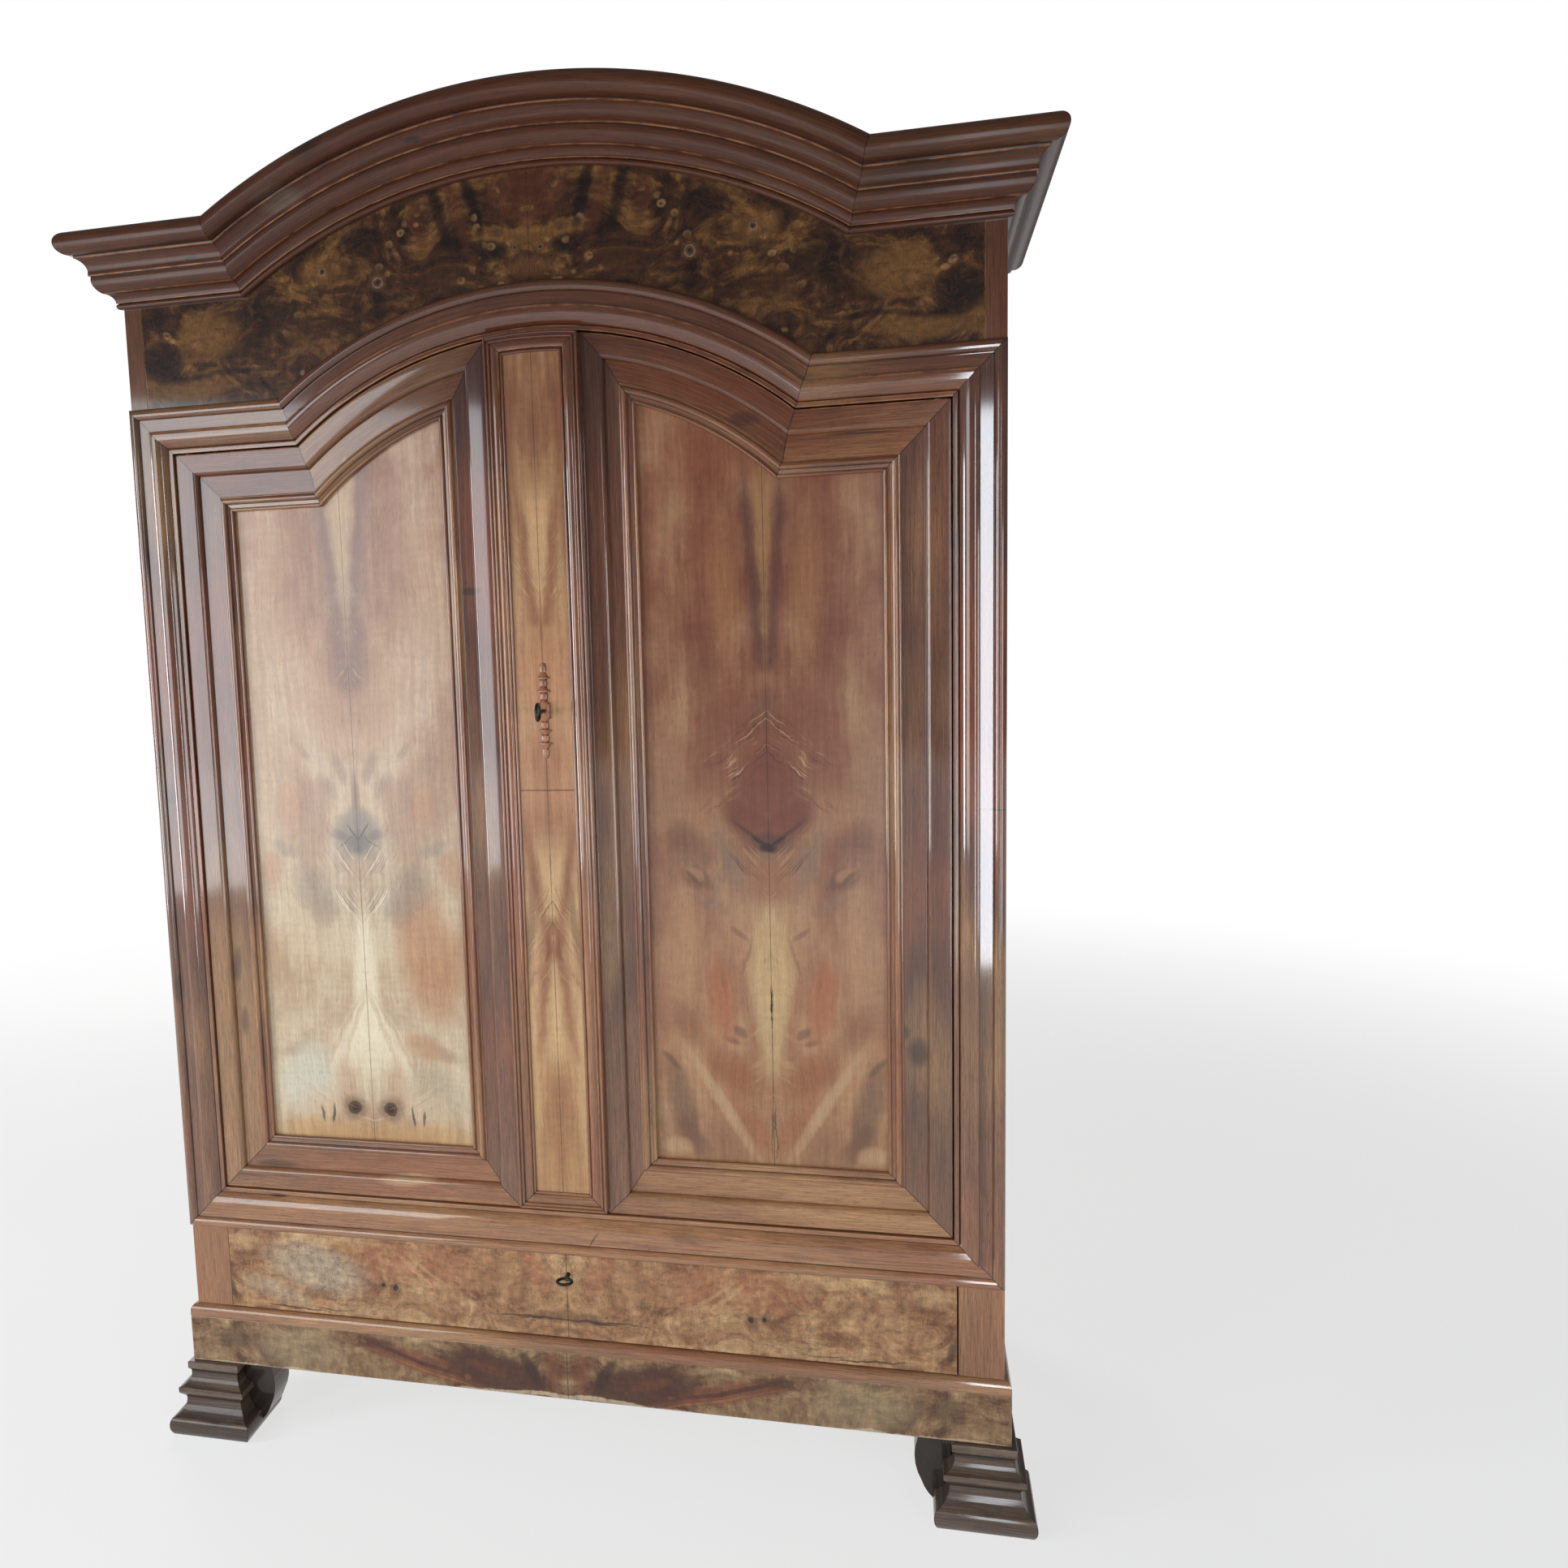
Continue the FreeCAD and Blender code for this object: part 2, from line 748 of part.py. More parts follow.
def foot_profile():
    """Give the moulded edge of a front foot from the top down, as out and height pairs."""
    z = foot_height
    z1 = z - foot_fillet_height
    z2 = z1 - foot_neck_height
    z3 = z2 - foot_flare_height
    z4 = z3 - foot_band_height
    z5 = z4 - foot_step_height
    z6 = z5 - foot_toe_flare_height
    toe = foot_toe_out
    neck = foot_neck_out
    step = foot_step_out
    bow_share = 0.3
    flare_bend = (neck + (foot_flare_out - neck) * bow_share, z2 - foot_flare_height * (1 - bow_share))
    toe_bend = (step + (toe - step) * bow_share, z5 - foot_toe_flare_height * (1 - bow_share))
    toe_tip = (toe + foot_toe_round * bow_share, z6 / 2)
    return [
        (foot_fillet_out, z), (foot_fillet_out, z1), (neck, z1 - (foot_fillet_out - neck)), (neck, z2),
        (flare_bend, (foot_flare_out, z3)), (foot_flare_out, z4), (step, z5),
        (toe_bend, (toe, z6)), (toe_tip, (toe - foot_toe_round * bow_share, 0))]


def foot_block():
    """Give the moulded block of a front foot, mitred round three faces."""
    inner = half_body - foot_width
    back = foot_width
    steps = foot_profile()

    def deep(out, z):
        return at(0, -out, z)

    def wide_out(out, z):
        return at(half_body + out, -2 * foot_toe_out, z)

    def wide_in(out, z):
        return at(inner - (out - foot_fillet_out), -2 * foot_toe_out, z)

    share = foot_flat_share
    front_view = outline(deep, steps[0], *steps[1:], (-back, 0), (-back, foot_height), flat_share=share)
    block = along_x(front_view, inner - foot_toe_out, half_body + 2 * foot_toe_out)
    reach = DEEP * (4 * foot_toe_out + foot_width)
    middle = foot_width / 2
    outer_half = outline(wide_out, steps[0], *steps[1:], (-middle, 0), (-middle, foot_height),
                         flat_share=share)
    inner_half = outline(wide_in, steps[0], *steps[1:], (foot_fillet_out - middle, 0),
                         (foot_fillet_out - middle, foot_height), flat_share=share)
    half_solids = outer_half.extrude(reach).fuse(inner_half.extrude(reach))
    return block.common(half_solids).removeSplitter()


def foot_bracket():
    """Give the curved glue block behind the inner end of a front foot."""
    inner = half_body - foot_width
    tip = inner - foot_bracket_reach
    shoulder = foot_height - foot_bracket_shoulder
    bulge = foot_bracket_bulge
    heel = foot_bracket_heel
    points = [(inner, foot_height), (tip + bulge, foot_height),
              ((tip, (shoulder + heel) / 2), (tip + bulge, heel)),
              ((inner - foot_bracket_reach / 2, bulge + bulge / 2), (inner, 0))]
    return slab(points, foot_bracket_setback, foot_bracket_setback + foot_bracket_thickness)


def make_feet():
    """Build the moulded front feet with their brackets and the plain rear feet."""
    block = foot_block()
    bracket = foot_bracket().cut(block)
    save("front_foot_right", block, bracket)
    save("front_foot_left", mirrored(block), mirrored(bracket))
    rear = box(half_body - rear_foot_width, half_body, body_depth - rear_foot_width, body_depth,
               0, foot_height)
    slope = outline(elevation(0), (half_body - rear_foot_width, 0),
                    (half_body - rear_foot_width + rear_foot_taper, 0),
                    (half_body - rear_foot_width, foot_height))
    rear = rear.cut(slope.extrude(DEEP * body_depth))
    save("rear_feet", rear, mirrored(rear))


# Doors

def ring(inner, outer_stile, inner_stile, rail, arch):
    """Give the five corners of a door outline drawn in from its edges by these widths."""
    x_out = door_out - outer_stile
    x_in = inner + inner_stile
    low = door_bottom + rail
    high = door_top - rail
    radius = door_radius - arch
    return {"low_out": (x_out, low), "high_out": (x_out, high),
            "joint": (arch_x(radius, high), high), "high_in": (x_in, arch_z(radius, x_in)),
            "low_in": (x_in, low), "radius": radius}


def door_rings(inner):
    """Give the corners of the door's edge, of its raised band and of its frame."""
    band = door_band + door_step
    return [ring(inner, 0, 0, 0, 0), ring(inner, band, band, band, band),
            ring(inner, outer_stile_width, inner_stile_width, door_rail_width, door_arch_rail_width)]


def moulding_rings(inner):
    """Give the outer and inner corners of the moulding round a door panel."""
    w = panel_moulding_width
    return [ring(inner, outer_stile_width, inner_stile_width, door_rail_width, door_arch_rail_width),
            ring(inner, outer_stile_width + w, inner_stile_width + w, door_rail_width + w,
                 door_arch_rail_width + w)]


def between(rings, first, last):
    """Give the outline between two corners through all the rings."""
    return [r[first] for r in rings] + [r[last] for r in reversed(rings)]


def keep_piece(rings, first, last, y0, y1):
    """Give the solid that one frame piece is cut from, mitred at both ends."""
    points = between(rings, first, last)
    if (first, last) == ("joint", "high_in"):
        lift = door_rail_width
        high = rings[0][last]
        low = rings[0][first]
        points += [(high[0], high[1] + lift), (low[0], low[1] + lift)]
    return slab(points, y0, y1)


def frame_section(place, width, flat_share=0):
    """Draw a stile or rail: raised band, rounded step, sunk flat and the panel's groove."""
    sunk = door_step_depth - door_front
    band = door_band
    step = band + door_step
    groove = sunk + panel_setback
    return outline(
        place, (0, -door_front),
        (band, -door_front),
        quarter((band, -door_front), (step, sunk), leaves_level=True),
        (width, sunk),
        (width, groove),
        (width - panel_groove_depth, groove),
        (width - panel_groove_depth, groove + panel_thickness),
        (width, groove + panel_thickness),
        (width, door_back),
        (0, door_back), flat_share=flat_share)


def panel_moulding_section(place):
    """Draw the moulding round a panel: quirk, bead, hollow and a fine inner bead."""
    foot = door_step_depth - door_front + panel_setback
    base = door_step_depth - door_front
    t1 = panel_quirk
    t2 = t1 + panel_bead
    t3 = t2 + panel_hollow
    t4 = t3 + panel_fine_bead
    return outline(
        place, (0, foot),
        (0, base - panel_hollow_height / 2),
        (t1, base - panel_hollow_height / 2),
        (((t1 + t2) / 2, base - panel_bead_height), (t2, base - panel_hollow_height)),
        (t3, base - panel_hollow_height / 2),
        (((t3 + t4) / 2, base - panel_fine_bead_height), (t4, base)),
        (t4, foot), flat_share=bead_flat_share)


def framed(rings, section, inner, low, high, y0, y1):
    """Build outer stile, inner stile, bottom rail, top rail and arched rail from a section.

    The section is a function of a placing function and of the name of the piece.
    """
    start = rings[0]

    def outer(across, y):
        return at(start["low_out"][0] - across, y, low)

    def inward(across, y):
        return at(start["low_in"][0] + across, y, low)

    def under(across, y):
        return at(0, y, start["low_out"][1] + across)

    def over(across, y):
        return at(0, y, start["high_out"][1] - across)

    def arched(across, y):
        return at(0, y, arch_centre + start["radius"] - across)

    tall = UP * (high - low)
    return {
        "outer": section(outer, "outer").extrude(tall).common(
            keep_piece(rings, "low_out", "high_out", y0, y1)),
        "inner": section(inward, "inner").extrude(tall).common(
            keep_piece(rings, "low_in", "high_in", y0, y1)),
        "low": along_x(section(under, "low"), 0, half_body).common(
            keep_piece(rings, "low_out", "low_in", y0, y1)),
        "high": along_x(section(over, "high"), 0, half_body).common(
            keep_piece(rings, "high_out", "joint", y0, y1)),
        "arch": along_arch(section(arched, "arch")).common(
            keep_piece(rings, "joint", "high_in", y0, y1))}


def stile_section(place, piece):
    """Draw the frame section at the width that the named piece has."""
    widths = {"outer": outer_stile_width, "inner": inner_stile_width, "low": door_rail_width,
              "high": door_rail_width, "arch": door_arch_rail_width}
    return frame_section(place, widths[piece], bead_flat_share if piece == "arch" else 0)


def trim_section(place, piece):
    """Draw the panel moulding, which is the same on every side."""
    return panel_moulding_section(place)


def ring_slab(corners, y0, y1):
    """Give the solid inside one ring of door corners."""
    radius = corners["radius"]
    middle = (corners["joint"][0] + corners["high_in"][0]) / 2
    points = [corners["low_out"], corners["high_out"], corners["joint"],
              ((middle, arch_z(radius, middle)), corners["high_in"]), corners["low_in"]]
    return slab(points, y0, y1)


def pivot_tangs(gap):
    """Give the square tangs that hold the pivot pins in a door, or with a gap their mortises."""
    half = pivot_radius + gap
    deep = pivot_embed + gap
    low = box(pivot_x - half, pivot_x + half, pivot_y - half, pivot_y + half,
              door_bottom, door_bottom + deep)
    high = box(pivot_x - half, pivot_x + half, pivot_y - half, pivot_y + half,
               door_top - deep, door_top)
    return low, high


def pivot_pins():
    """Give the lower and upper pivots of a door, a round pin on a square tang each."""
    low_tip = opening_bottom + pivot_tip_gap
    high_tip = opening_top - pivot_tip_gap
    low = Part.makeCylinder(pivot_radius, door_bottom - low_tip, at(pivot_x, pivot_y, low_tip))
    high = Part.makeCylinder(pivot_radius, high_tip - door_top, at(pivot_x, pivot_y, door_top))
    low_tang, high_tang = pivot_tangs(0)
    return low.fuse(low_tang), high.fuse(high_tang)


def make_door(name, side, inner):
    """Build one door: stiles, rails, panel moulding, panel and pivot pins."""
    past = pilaster_half
    pieces = framed(door_rings(inner), stile_section, inner, door_bottom - past,
                    arch_centre + door_radius, -door_front - overrun, door_back + overrun)
    for key in ("outer", "low", "high"):
        for mortise in pivot_tangs(seat_gap):
            pieces[key] = pieces[key].cut(mortise)
    save("door_" + name + "_stiles", for_side(pieces["outer"], side), for_side(pieces["inner"], side))
    save("door_" + name + "_rails", *[for_side(pieces[key], side) for key in ("low", "high", "arch")])
    pieces = framed(moulding_rings(inner), trim_section, inner, door_bottom - past,
                    arch_centre + door_radius, -door_front - overrun, door_back)
    save("door_" + name + "_panel_moulding", *[for_side(piece, side) for piece in pieces.values()])
    edge = panel_groove_depth - panel_edge_gap
    corners = ring(inner, outer_stile_width - edge, inner_stile_width - edge, door_rail_width - edge,
                   door_arch_rail_width - edge)
    face = door_step_depth - door_front + panel_setback
    panel = ring_slab(corners, face, face + panel_thickness - seat_gap)
    save("door_" + name + "_panel", for_side(panel, side))
    save("door_" + name + "_pivots", *[for_side(pin, side) for pin in pivot_pins()])


def make_pivot_plates():
    """Build the four plates that the pivot pins turn in."""
    x0 = pivot_x - pivot_plate_length / 2
    x1 = min(pivot_x + pivot_plate_length / 2, half_opening)
    y1 = pivot_plate_width
    low = box(x0, x1, 0, y1, opening_bottom, door_bottom - pivot_plate_gap)
    high = box(x0, x1, 0, y1, door_top + pivot_plate_gap, opening_top)
    bore = Part.makeCylinder(pivot_radius + pivot_running_gap, surround_height,
                             at(pivot_x, pivot_y, surround_bottom))
    plates = [low.cut(bore), high.cut(bore)]
    save("pivot_plates", *plates, *[mirrored(plate) for plate in plates])


# Pilaster

def pilaster_section(place):
    """Draw the pilaster's frame: fine bead, groove, bead, broad band, groove and inner bead."""
    top = pilaster_frame_height
    low = pilaster_groove_height
    t1 = pilaster_fine_bead
    t2 = t1 + pilaster_groove
    t3 = t2 + pilaster_inner_bead
    t4 = t3 + pilaster_band
    t5 = t4 + pilaster_groove
    t6 = t5 + pilaster_fine_bead
    return outline(
        place, (0, 0),
        (0, low),
        ((t1 / 2, top), (t1, low)),
        (t2, low),
        (((t2 + t3) / 2, top), (t3, low)),
        (((t3 + t4) / 2, pilaster_band_height), (t4, low)),
        (t5, pilaster_panel_thickness),
        (((t5 + t6) / 2, low), (t6, pilaster_panel_thickness)),
        (t6, 0), flat_share=bead_flat_share)


def pilaster_ring(inset):
    """Give the corners of the pilaster's front drawn in by this much."""
    x = pilaster_half - inset
    low = door_bottom + pilaster_lift + inset
    radius = door_radius - inset
    return {"low": (x, low), "high": (x, arch_z(radius, x)), "radius": radius}


def pilaster_slab(corners, y0, y1):
    """Give the solid inside a ring of the pilaster, with its arched top."""
    x, low = corners["low"]
    high = corners["high"][1]
    points = [(-x, low), (x, low), (x, high), ((0, arch_centre + corners["radius"]), (-x, high))]
    return slab(points, y0, y1)


def make_pilaster():
    """Build the pilaster's core, its four mitred mouldings and its veneered panel."""
    face = -pilaster_core_front
    outer = pilaster_ring(0)
    inner = pilaster_ring(pilaster_frame_width)
    hole = keyhole(0, door_lock_height, -pilaster_panel_face - overrun, door_back + overrun)
    core = pilaster_slab(outer, face, door_back).cut(hole)
    save("pilaster_core", core)
    panel = pilaster_slab(pilaster_ring(pilaster_frame_width + seat_gap), -pilaster_panel_face, face)
    save("pilaster_panel", panel.cut(hole))

    def beside(across, up):
        return at(pilaster_half - across, face - up, outer["low"][1])

    def under(across, up):
        return at(0, face - up, outer["low"][1] + across)

    def arched(across, up):
        return at(0, face - up, arch_centre + outer["radius"] - across)

    proud = face - pilaster_frame_height - overrun
    keep = slab([outer["low"], outer["high"], inner["high"], inner["low"]], proud, face)
    right = pilaster_section(beside).extrude(UP * surround_height).common(keep)
    x_out, low_out = outer["low"]
    x_in, low_in = inner["low"]
    keep = slab([(-x_out, low_out), (x_out, low_out), (x_in, low_in), (-x_in, low_in)], proud, face)
    bottom = along_x(pilaster_section(under), -pilaster_half, pilaster_half).common(keep)
    over = outer["high"][1] + pilaster_frame_width
    keep = slab([(-x_in, inner["high"][1]), inner["high"], outer["high"], (x_out, over), (-x_out, over),
                 (-x_out, outer["high"][1])], proud, face)
    top = along_arch(pilaster_section(arched)).common(keep)
    save("pilaster_moulding", right, mirrored(right), bottom, top)


# Locks, keys and bolts

def escutcheon_outline():
    """Give the right-hand edge of the escutcheon from its top finial to the middle.

    Each pair is a share of the half width and a share of the half length.
    """
    upper_shares = [
        (0.0, 1.0), ((0.36, 0.96), (0.45, 0.88)), (0.30, 0.79), ((0.55, 0.73), (1.0, 0.70)),
        ((0.60, 0.66), (0.42, 0.61)), ((0.52, 0.55), (0.40, 0.50)), ((0.60, 0.46), (1.0, 0.43)),
        ((0.62, 0.385), (0.42, 0.335)), ((0.52, 0.28), (0.42, 0.235)), ((0.70, 0.19), (1.0, 0.15)),
        ((0.93, 0.075), (0.91, 0.0))]
    return upper_shares


def make_escutcheon():
    """Build the carved keyhole plate on the pilaster."""
    w = escutcheon_half_width
    h = escutcheon_half_length
    z = door_lock_height

    def place(x, up):
        return at(x, -pilaster_panel_face, z + up)

    def scaled(step, sx, sz):
        if isinstance(step[0], tuple):
            return tuple((p[0] * w * sx, p[1] * h * sz) for p in step)
        return (step[0] * w * sx, step[1] * h * sz)

    quarter = escutcheon_outline()
    steps = [scaled(step, 1, 1) for step in quarter]
    body = None
    for sx, sz in ((1, 1), (-1, 1), (1, -1), (-1, -1)):
        steps = [scaled(step, sx, sz) for step in quarter]
        face = outline(place, steps[0], *steps[1:], (0, 0), flat_share=bead_flat_share)
        part = face.extrude(DEEP * -escutcheon_thickness)
        body = part if body is None else body.fuse(part)
    body = body.removeSplitter()
    save("escutcheon", body.cut(keyhole(0, z, -pilaster_panel_face - overrun, 0)))


def bow_slab(inset):
    """Give the flat oval of a key's bow, lying level round the origin and drawn in by inset."""
    radius = key_bow_length / 2 - inset
    reach = key_bow_width / 2 - inset
    low = -key_bow_thickness / 2

    def place(x, y):
        return Vector(x, y, low)

    face = outline(place, (radius - reach, -radius), (reach - radius, -radius),
                   ((reach, 0), (reach - radius, radius)), (radius - reach, radius),
                   ((-reach, 0), (radius - reach, -radius)), flat_share=key_flat_share)
    return face.extrude(UP * key_bow_thickness)


def make_key(x, z, bow_at, tip, turned):
    """Give a key along the depth axis, with its bow upright, or lying flat if turned."""
    shank = drill(x, z, key_radius, -bow_at, tip)
    collar = drill(x, z, key_collar_radius, -bow_at, key_collar_length - bow_at)
    bit = box(x - key_bit_thickness / 2, x + key_bit_thickness / 2, tip - key_bit_width, tip,
              z - key_bit_length, z)
    centre = at(x, -bow_at - key_bow_length / 2 + key_bow_bar / 2, z)
    bow = bow_slab(0).cut(bow_slab(key_bow_bar))
    if not turned:
        bow.rotate(Vector(0, 0, 0), DEEP, 90)
    bow.translate(centre)
    return shank.fuse(collar).fuse(bit).fuse(bow).removeSplitter()


def make_door_lock():
    """Build the rim lock on the right door, its bolt, its key and the keeper on the left door."""
    z = door_lock_height
    y0 = door_back
    y1 = y0 + lock_case_thickness
    case = box(-lock_case_left, lock_case_right, y0, y1, z - lock_case_below, z + lock_case_above)
    chamber = box(-key_chamber, key_chamber, y0 + lock_wall, y1 - lock_wall,
                  z - key_chamber, z + key_chamber)
    entry = keyhole(0, z, y0 - overrun, y0 + lock_wall)
    g = bolt_slide_gap
    bolt_y = (y0 + y1 - door_bolt_thickness) / 2
    bolt_z = z + door_bolt_rise
    bolt = box(-lock_case_left + g, -lock_case_left + g + door_bolt_length, bolt_y,
               bolt_y + door_bolt_thickness, bolt_z, bolt_z + door_bolt_height)
    slot = box(-lock_case_left - overrun, -lock_case_left + 2 * g + door_bolt_length, bolt_y - g,
               bolt_y + door_bolt_thickness + g, bolt_z - g, bolt_z + door_bolt_height + g)
    save("door_lock_case", case.cut(chamber).cut(entry).cut(slot))
    save("door_lock_bolt", bolt)
    keeper_right = -left_inner - door_gap
    wall = keeper_wall
    keeper = box(keeper_right - keeper_length, keeper_right, y0, y1, bolt_z - mortise_gap - wall,
                 bolt_z + door_bolt_height + mortise_gap + wall)
    pocket = box(keeper_right - keeper_length + wall, keeper_right + overrun, bolt_y - mortise_gap,
                 bolt_y + door_bolt_thickness + mortise_gap, bolt_z - mortise_gap,
                 bolt_z + door_bolt_height + mortise_gap)
    save("door_lock_keeper", keeper.cut(pocket))
    save("door_key", make_key(0, z, door_key_reach, y1 - lock_wall - mortise_gap, False))


def drawer_bolt_mortise():
    """Give the mortise in the front rail that the drawer's bolt rises into."""
    g = mortise_gap
    y0 = drawer_back_of_front + (drawer_lock_thickness - drawer_bolt_thickness) / 2
    return box(drawer_bolt_side - drawer_bolt_width / 2 - g, drawer_bolt_side + drawer_bolt_width / 2 + g,
               y0 - g, y0 + drawer_bolt_thickness + g, surround_bottom - overrun,
               surround_bottom + drawer_bolt_throw)


def make_drawer_lock():
    """Build the drawer's lock, its rising bolt and its key."""
    x = drawer_lock_half_width
    y0 = drawer_back_of_front
    y1 = y0 + drawer_lock_thickness
    z = drawer_lock_height
    top = drawer_top - drawer_bolt_sink
    case = box(-x, x, y0, y1, z - drawer_lock_below, top)
    reach = key_bit_length + mortise_gap
    chamber = box(-reach, reach, y0 + lock_wall, y1 - lock_wall, z - reach, z + reach)
    entry = keyhole(0, z, y0 - overrun, y0 + lock_wall)
    g = bolt_slide_gap
    bolt_y = (y0 + y1 - drawer_bolt_thickness) / 2
    low = drawer_bolt_side - drawer_bolt_width / 2
    high = drawer_bolt_side + drawer_bolt_width / 2
    bolt = box(low, high, bolt_y, bolt_y + drawer_bolt_thickness, top - drawer_bolt_length, top)
    slot = box(low - g, high + g, bolt_y - g, bolt_y + drawer_bolt_thickness + g,
               top - drawer_bolt_length - g, top + overrun)
    save("drawer_lock_case", case.cut(chamber).cut(entry).cut(slot))
    save("drawer_lock_bolt", bolt)
    save("drawer_key", make_key(0, z, drawer_key_reach, y1 - lock_wall - mortise_gap, True))


def slide_place():
    """Give the near and far edges and the back face of the left door's slide bolts."""
    x = -(left_inner + door_slide_inset)
    return x - door_slide_width / 2, x + door_slide_width / 2, door_back


def slide_mortise():
    """Give the mortise in the front rail for the lower slide bolt."""
    x0, x1, y0 = slide_place()
    g = mortise_gap
    return box(x0 - g, x1 + g, y0 - g, y0 + door_slide_thickness + g,
               door_bottom - door_slide_throw, opening_bottom + overrun)


def make_slide_bolts():
    """Build the two slide bolts of the left door, their guides and the upper keeper."""
    x0, x1, y0 = slide_place()
    g = bolt_slide_gap
    y1 = y0 + g + door_slide_thickness
    low = door_bottom + door_slide_rest_gap
    high = arch_z(door_radius, -x0) - door_slide_rest_gap
    middle = (x0 + x1) / 2
    guides = []
    bolts = []
    for start in (low, high - door_slide_length):
        bar = box(x0, x1, y0 + g, y1, start, start + door_slide_length)
        knob = drill(middle, start + door_slide_length / 2, door_slide_knob_radius, y1 - g,
                     y1 + door_slide_knob_length)
        bolts.append(bar.fuse(knob).removeSplitter())
        for share in (slide_guide_inset_share, 1 - slide_guide_inset_share):
            z0 = start + door_slide_length * share - slide_guide_height / 2
            wall = slide_guide_wall + g
            block = box(x0 - wall, x1 + wall, y0, y1 + wall, z0, z0 + slide_guide_height)
            channel = box(x0 - g, x1 + g, y0 - overrun, y1 + g, z0 - overrun,
                          z0 + slide_guide_height + overrun)
            guides.append(block.cut(channel))
    save("slide_bolt_lower", bolts[0])
    save("slide_bolt_upper", bolts[1])
    save("slide_bolt_guides", *guides)
    wall = slide_guide_wall + mortise_gap
    z0 = arch_z(opening_radius, -x1) + slide_keeper_rise
    block = box(x0 - wall, x1 + wall, frieze_thickness, y1 + wall, z0, z0 + slide_keeper_height)
    m = mortise_gap
    channel = box(x0 - m, x1 + m, y0 - m, y1 + m, z0 - overrun, z0 + slide_keeper_height + overrun)
    save("slide_bolt_keeper", block.cut(channel))


# Drawer

def make_drawer():
    """Build the drawer: front, two sides with a back, bottom, and the runners in the carcass."""
    x_front = half_opening - door_gap
    front_board = box(-x_front, x_front, -drawer_front_proud, drawer_back_of_front,
                      drawer_bottom_edge, drawer_top)
    picked = [edge for edge in front_board.Edges
              if all(abs(v.Y - (front - drawer_front_proud)) < seat_gap for v in edge.Vertexes)]
    front_board = front_board.makeFillet(front_edge_round, picked)
    hole = keyhole(0, drawer_lock_height, -drawer_front_proud - overrun, drawer_back_of_front + overrun)
    x_out = half_opening - drawer_side_inset
    x_in = x_out - drawer_side_thickness
    y0 = drawer_back_of_front
    y1 = y0 + drawer_depth
    z0 = drawer_bottom_edge + drawer_side_lift
    z1 = drawer_top - drawer_side_drop
    g = drawer_groove
    low = z0 + drawer_bottom_lift
    bottom = box(g - x_in - 2 * g, x_in + g, y0 - g, y1, low, low + drawer_bottom_thickness)
    front_board = front_board.cut(hole).cut(bottom)
    side = box(x_in, x_out, y0, y1, z0, z1).cut(bottom)
    rear = box(-x_in, x_in, y1 - drawer_side_thickness, y1, low + drawer_bottom_thickness, z1)
    save("drawer_front", front_board)
    save("drawer_box", side, mirrored(side), rear)
    save("drawer_bottom", bottom)
    lip = x_in - drawer_side_thickness
    runner = box(lip, half_opening, front_post_depth, rear_post_front, ledge_top, z0 - runner_gap)
    guide = box(x_out + runner_gap, half_opening, front_post_depth, rear_post_front, ledge_top,
                ledge_top + runner_guide_height)
    runner = runner.fuse(guide).removeSplitter()
    save("drawer_runners", runner, mirrored(runner))


# Inside fittings

def make_inside():
    """Build the hat shelf on its cleats and the hanging rail in its sockets."""
    back = body_depth - back_rail_thickness - seat_gap
    save("shelf", notched_board(shelf_height, board_thickness, shelf_setback, back))
    x1 = inner_side
    x0 = x1 - cleat_thickness
    cleat = box(x0, x1, front_post_depth, rear_post_front, shelf_height - cleat_height, shelf_height)
    save("shelf_cleats", cleat, mirrored(cleat))
    y = (front_post_depth + rear_post_front) / 2
    z = shelf_height - rail_drop
    inner = x0 - rail_socket_length
    half = rail_socket_half
    cup = box(inner, x0, y - half, y + half, z - half, z + half)
    bore = Part.makeCylinder(rail_radius + rail_fit, rail_socket_length,
                             at(inner - rail_socket_wall, y, z), ACROSS)
    cup = cup.cut(bore)
    save("rail_sockets", cup, mirrored(cup))
    reach = x0 - rail_socket_wall - rail_end_gap
    save("hanging_rail", Part.makeCylinder(rail_radius, 2 * reach, at(-reach, y, z), ACROSS))


os.makedirs("parts", exist_ok=True)
make_cornice()
make_surround()
make_posts()
make_frieze()
make_sides()
make_back()
make_boards()
make_base()
make_feet()
make_door("left", -1, left_inner)
make_door("right", 1, pilaster_half)
make_pivot_plates()
make_pilaster()
make_escutcheon()
make_door_lock()
make_drawer_lock()
make_slide_bolts()
make_drawer()
make_inside()
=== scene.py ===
"""Polished walnut wardrobe: fine meshes, finishes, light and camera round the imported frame.

Lengths are metres in the frame of the CAD model: X across, Y from front to back, Z up.
"""

import json
import logging
import math
from collections.abc import Iterable, Sequence
from dataclasses import dataclass
from enum import Enum

import bmesh
import bpy
from mathutils import Matrix, Vector


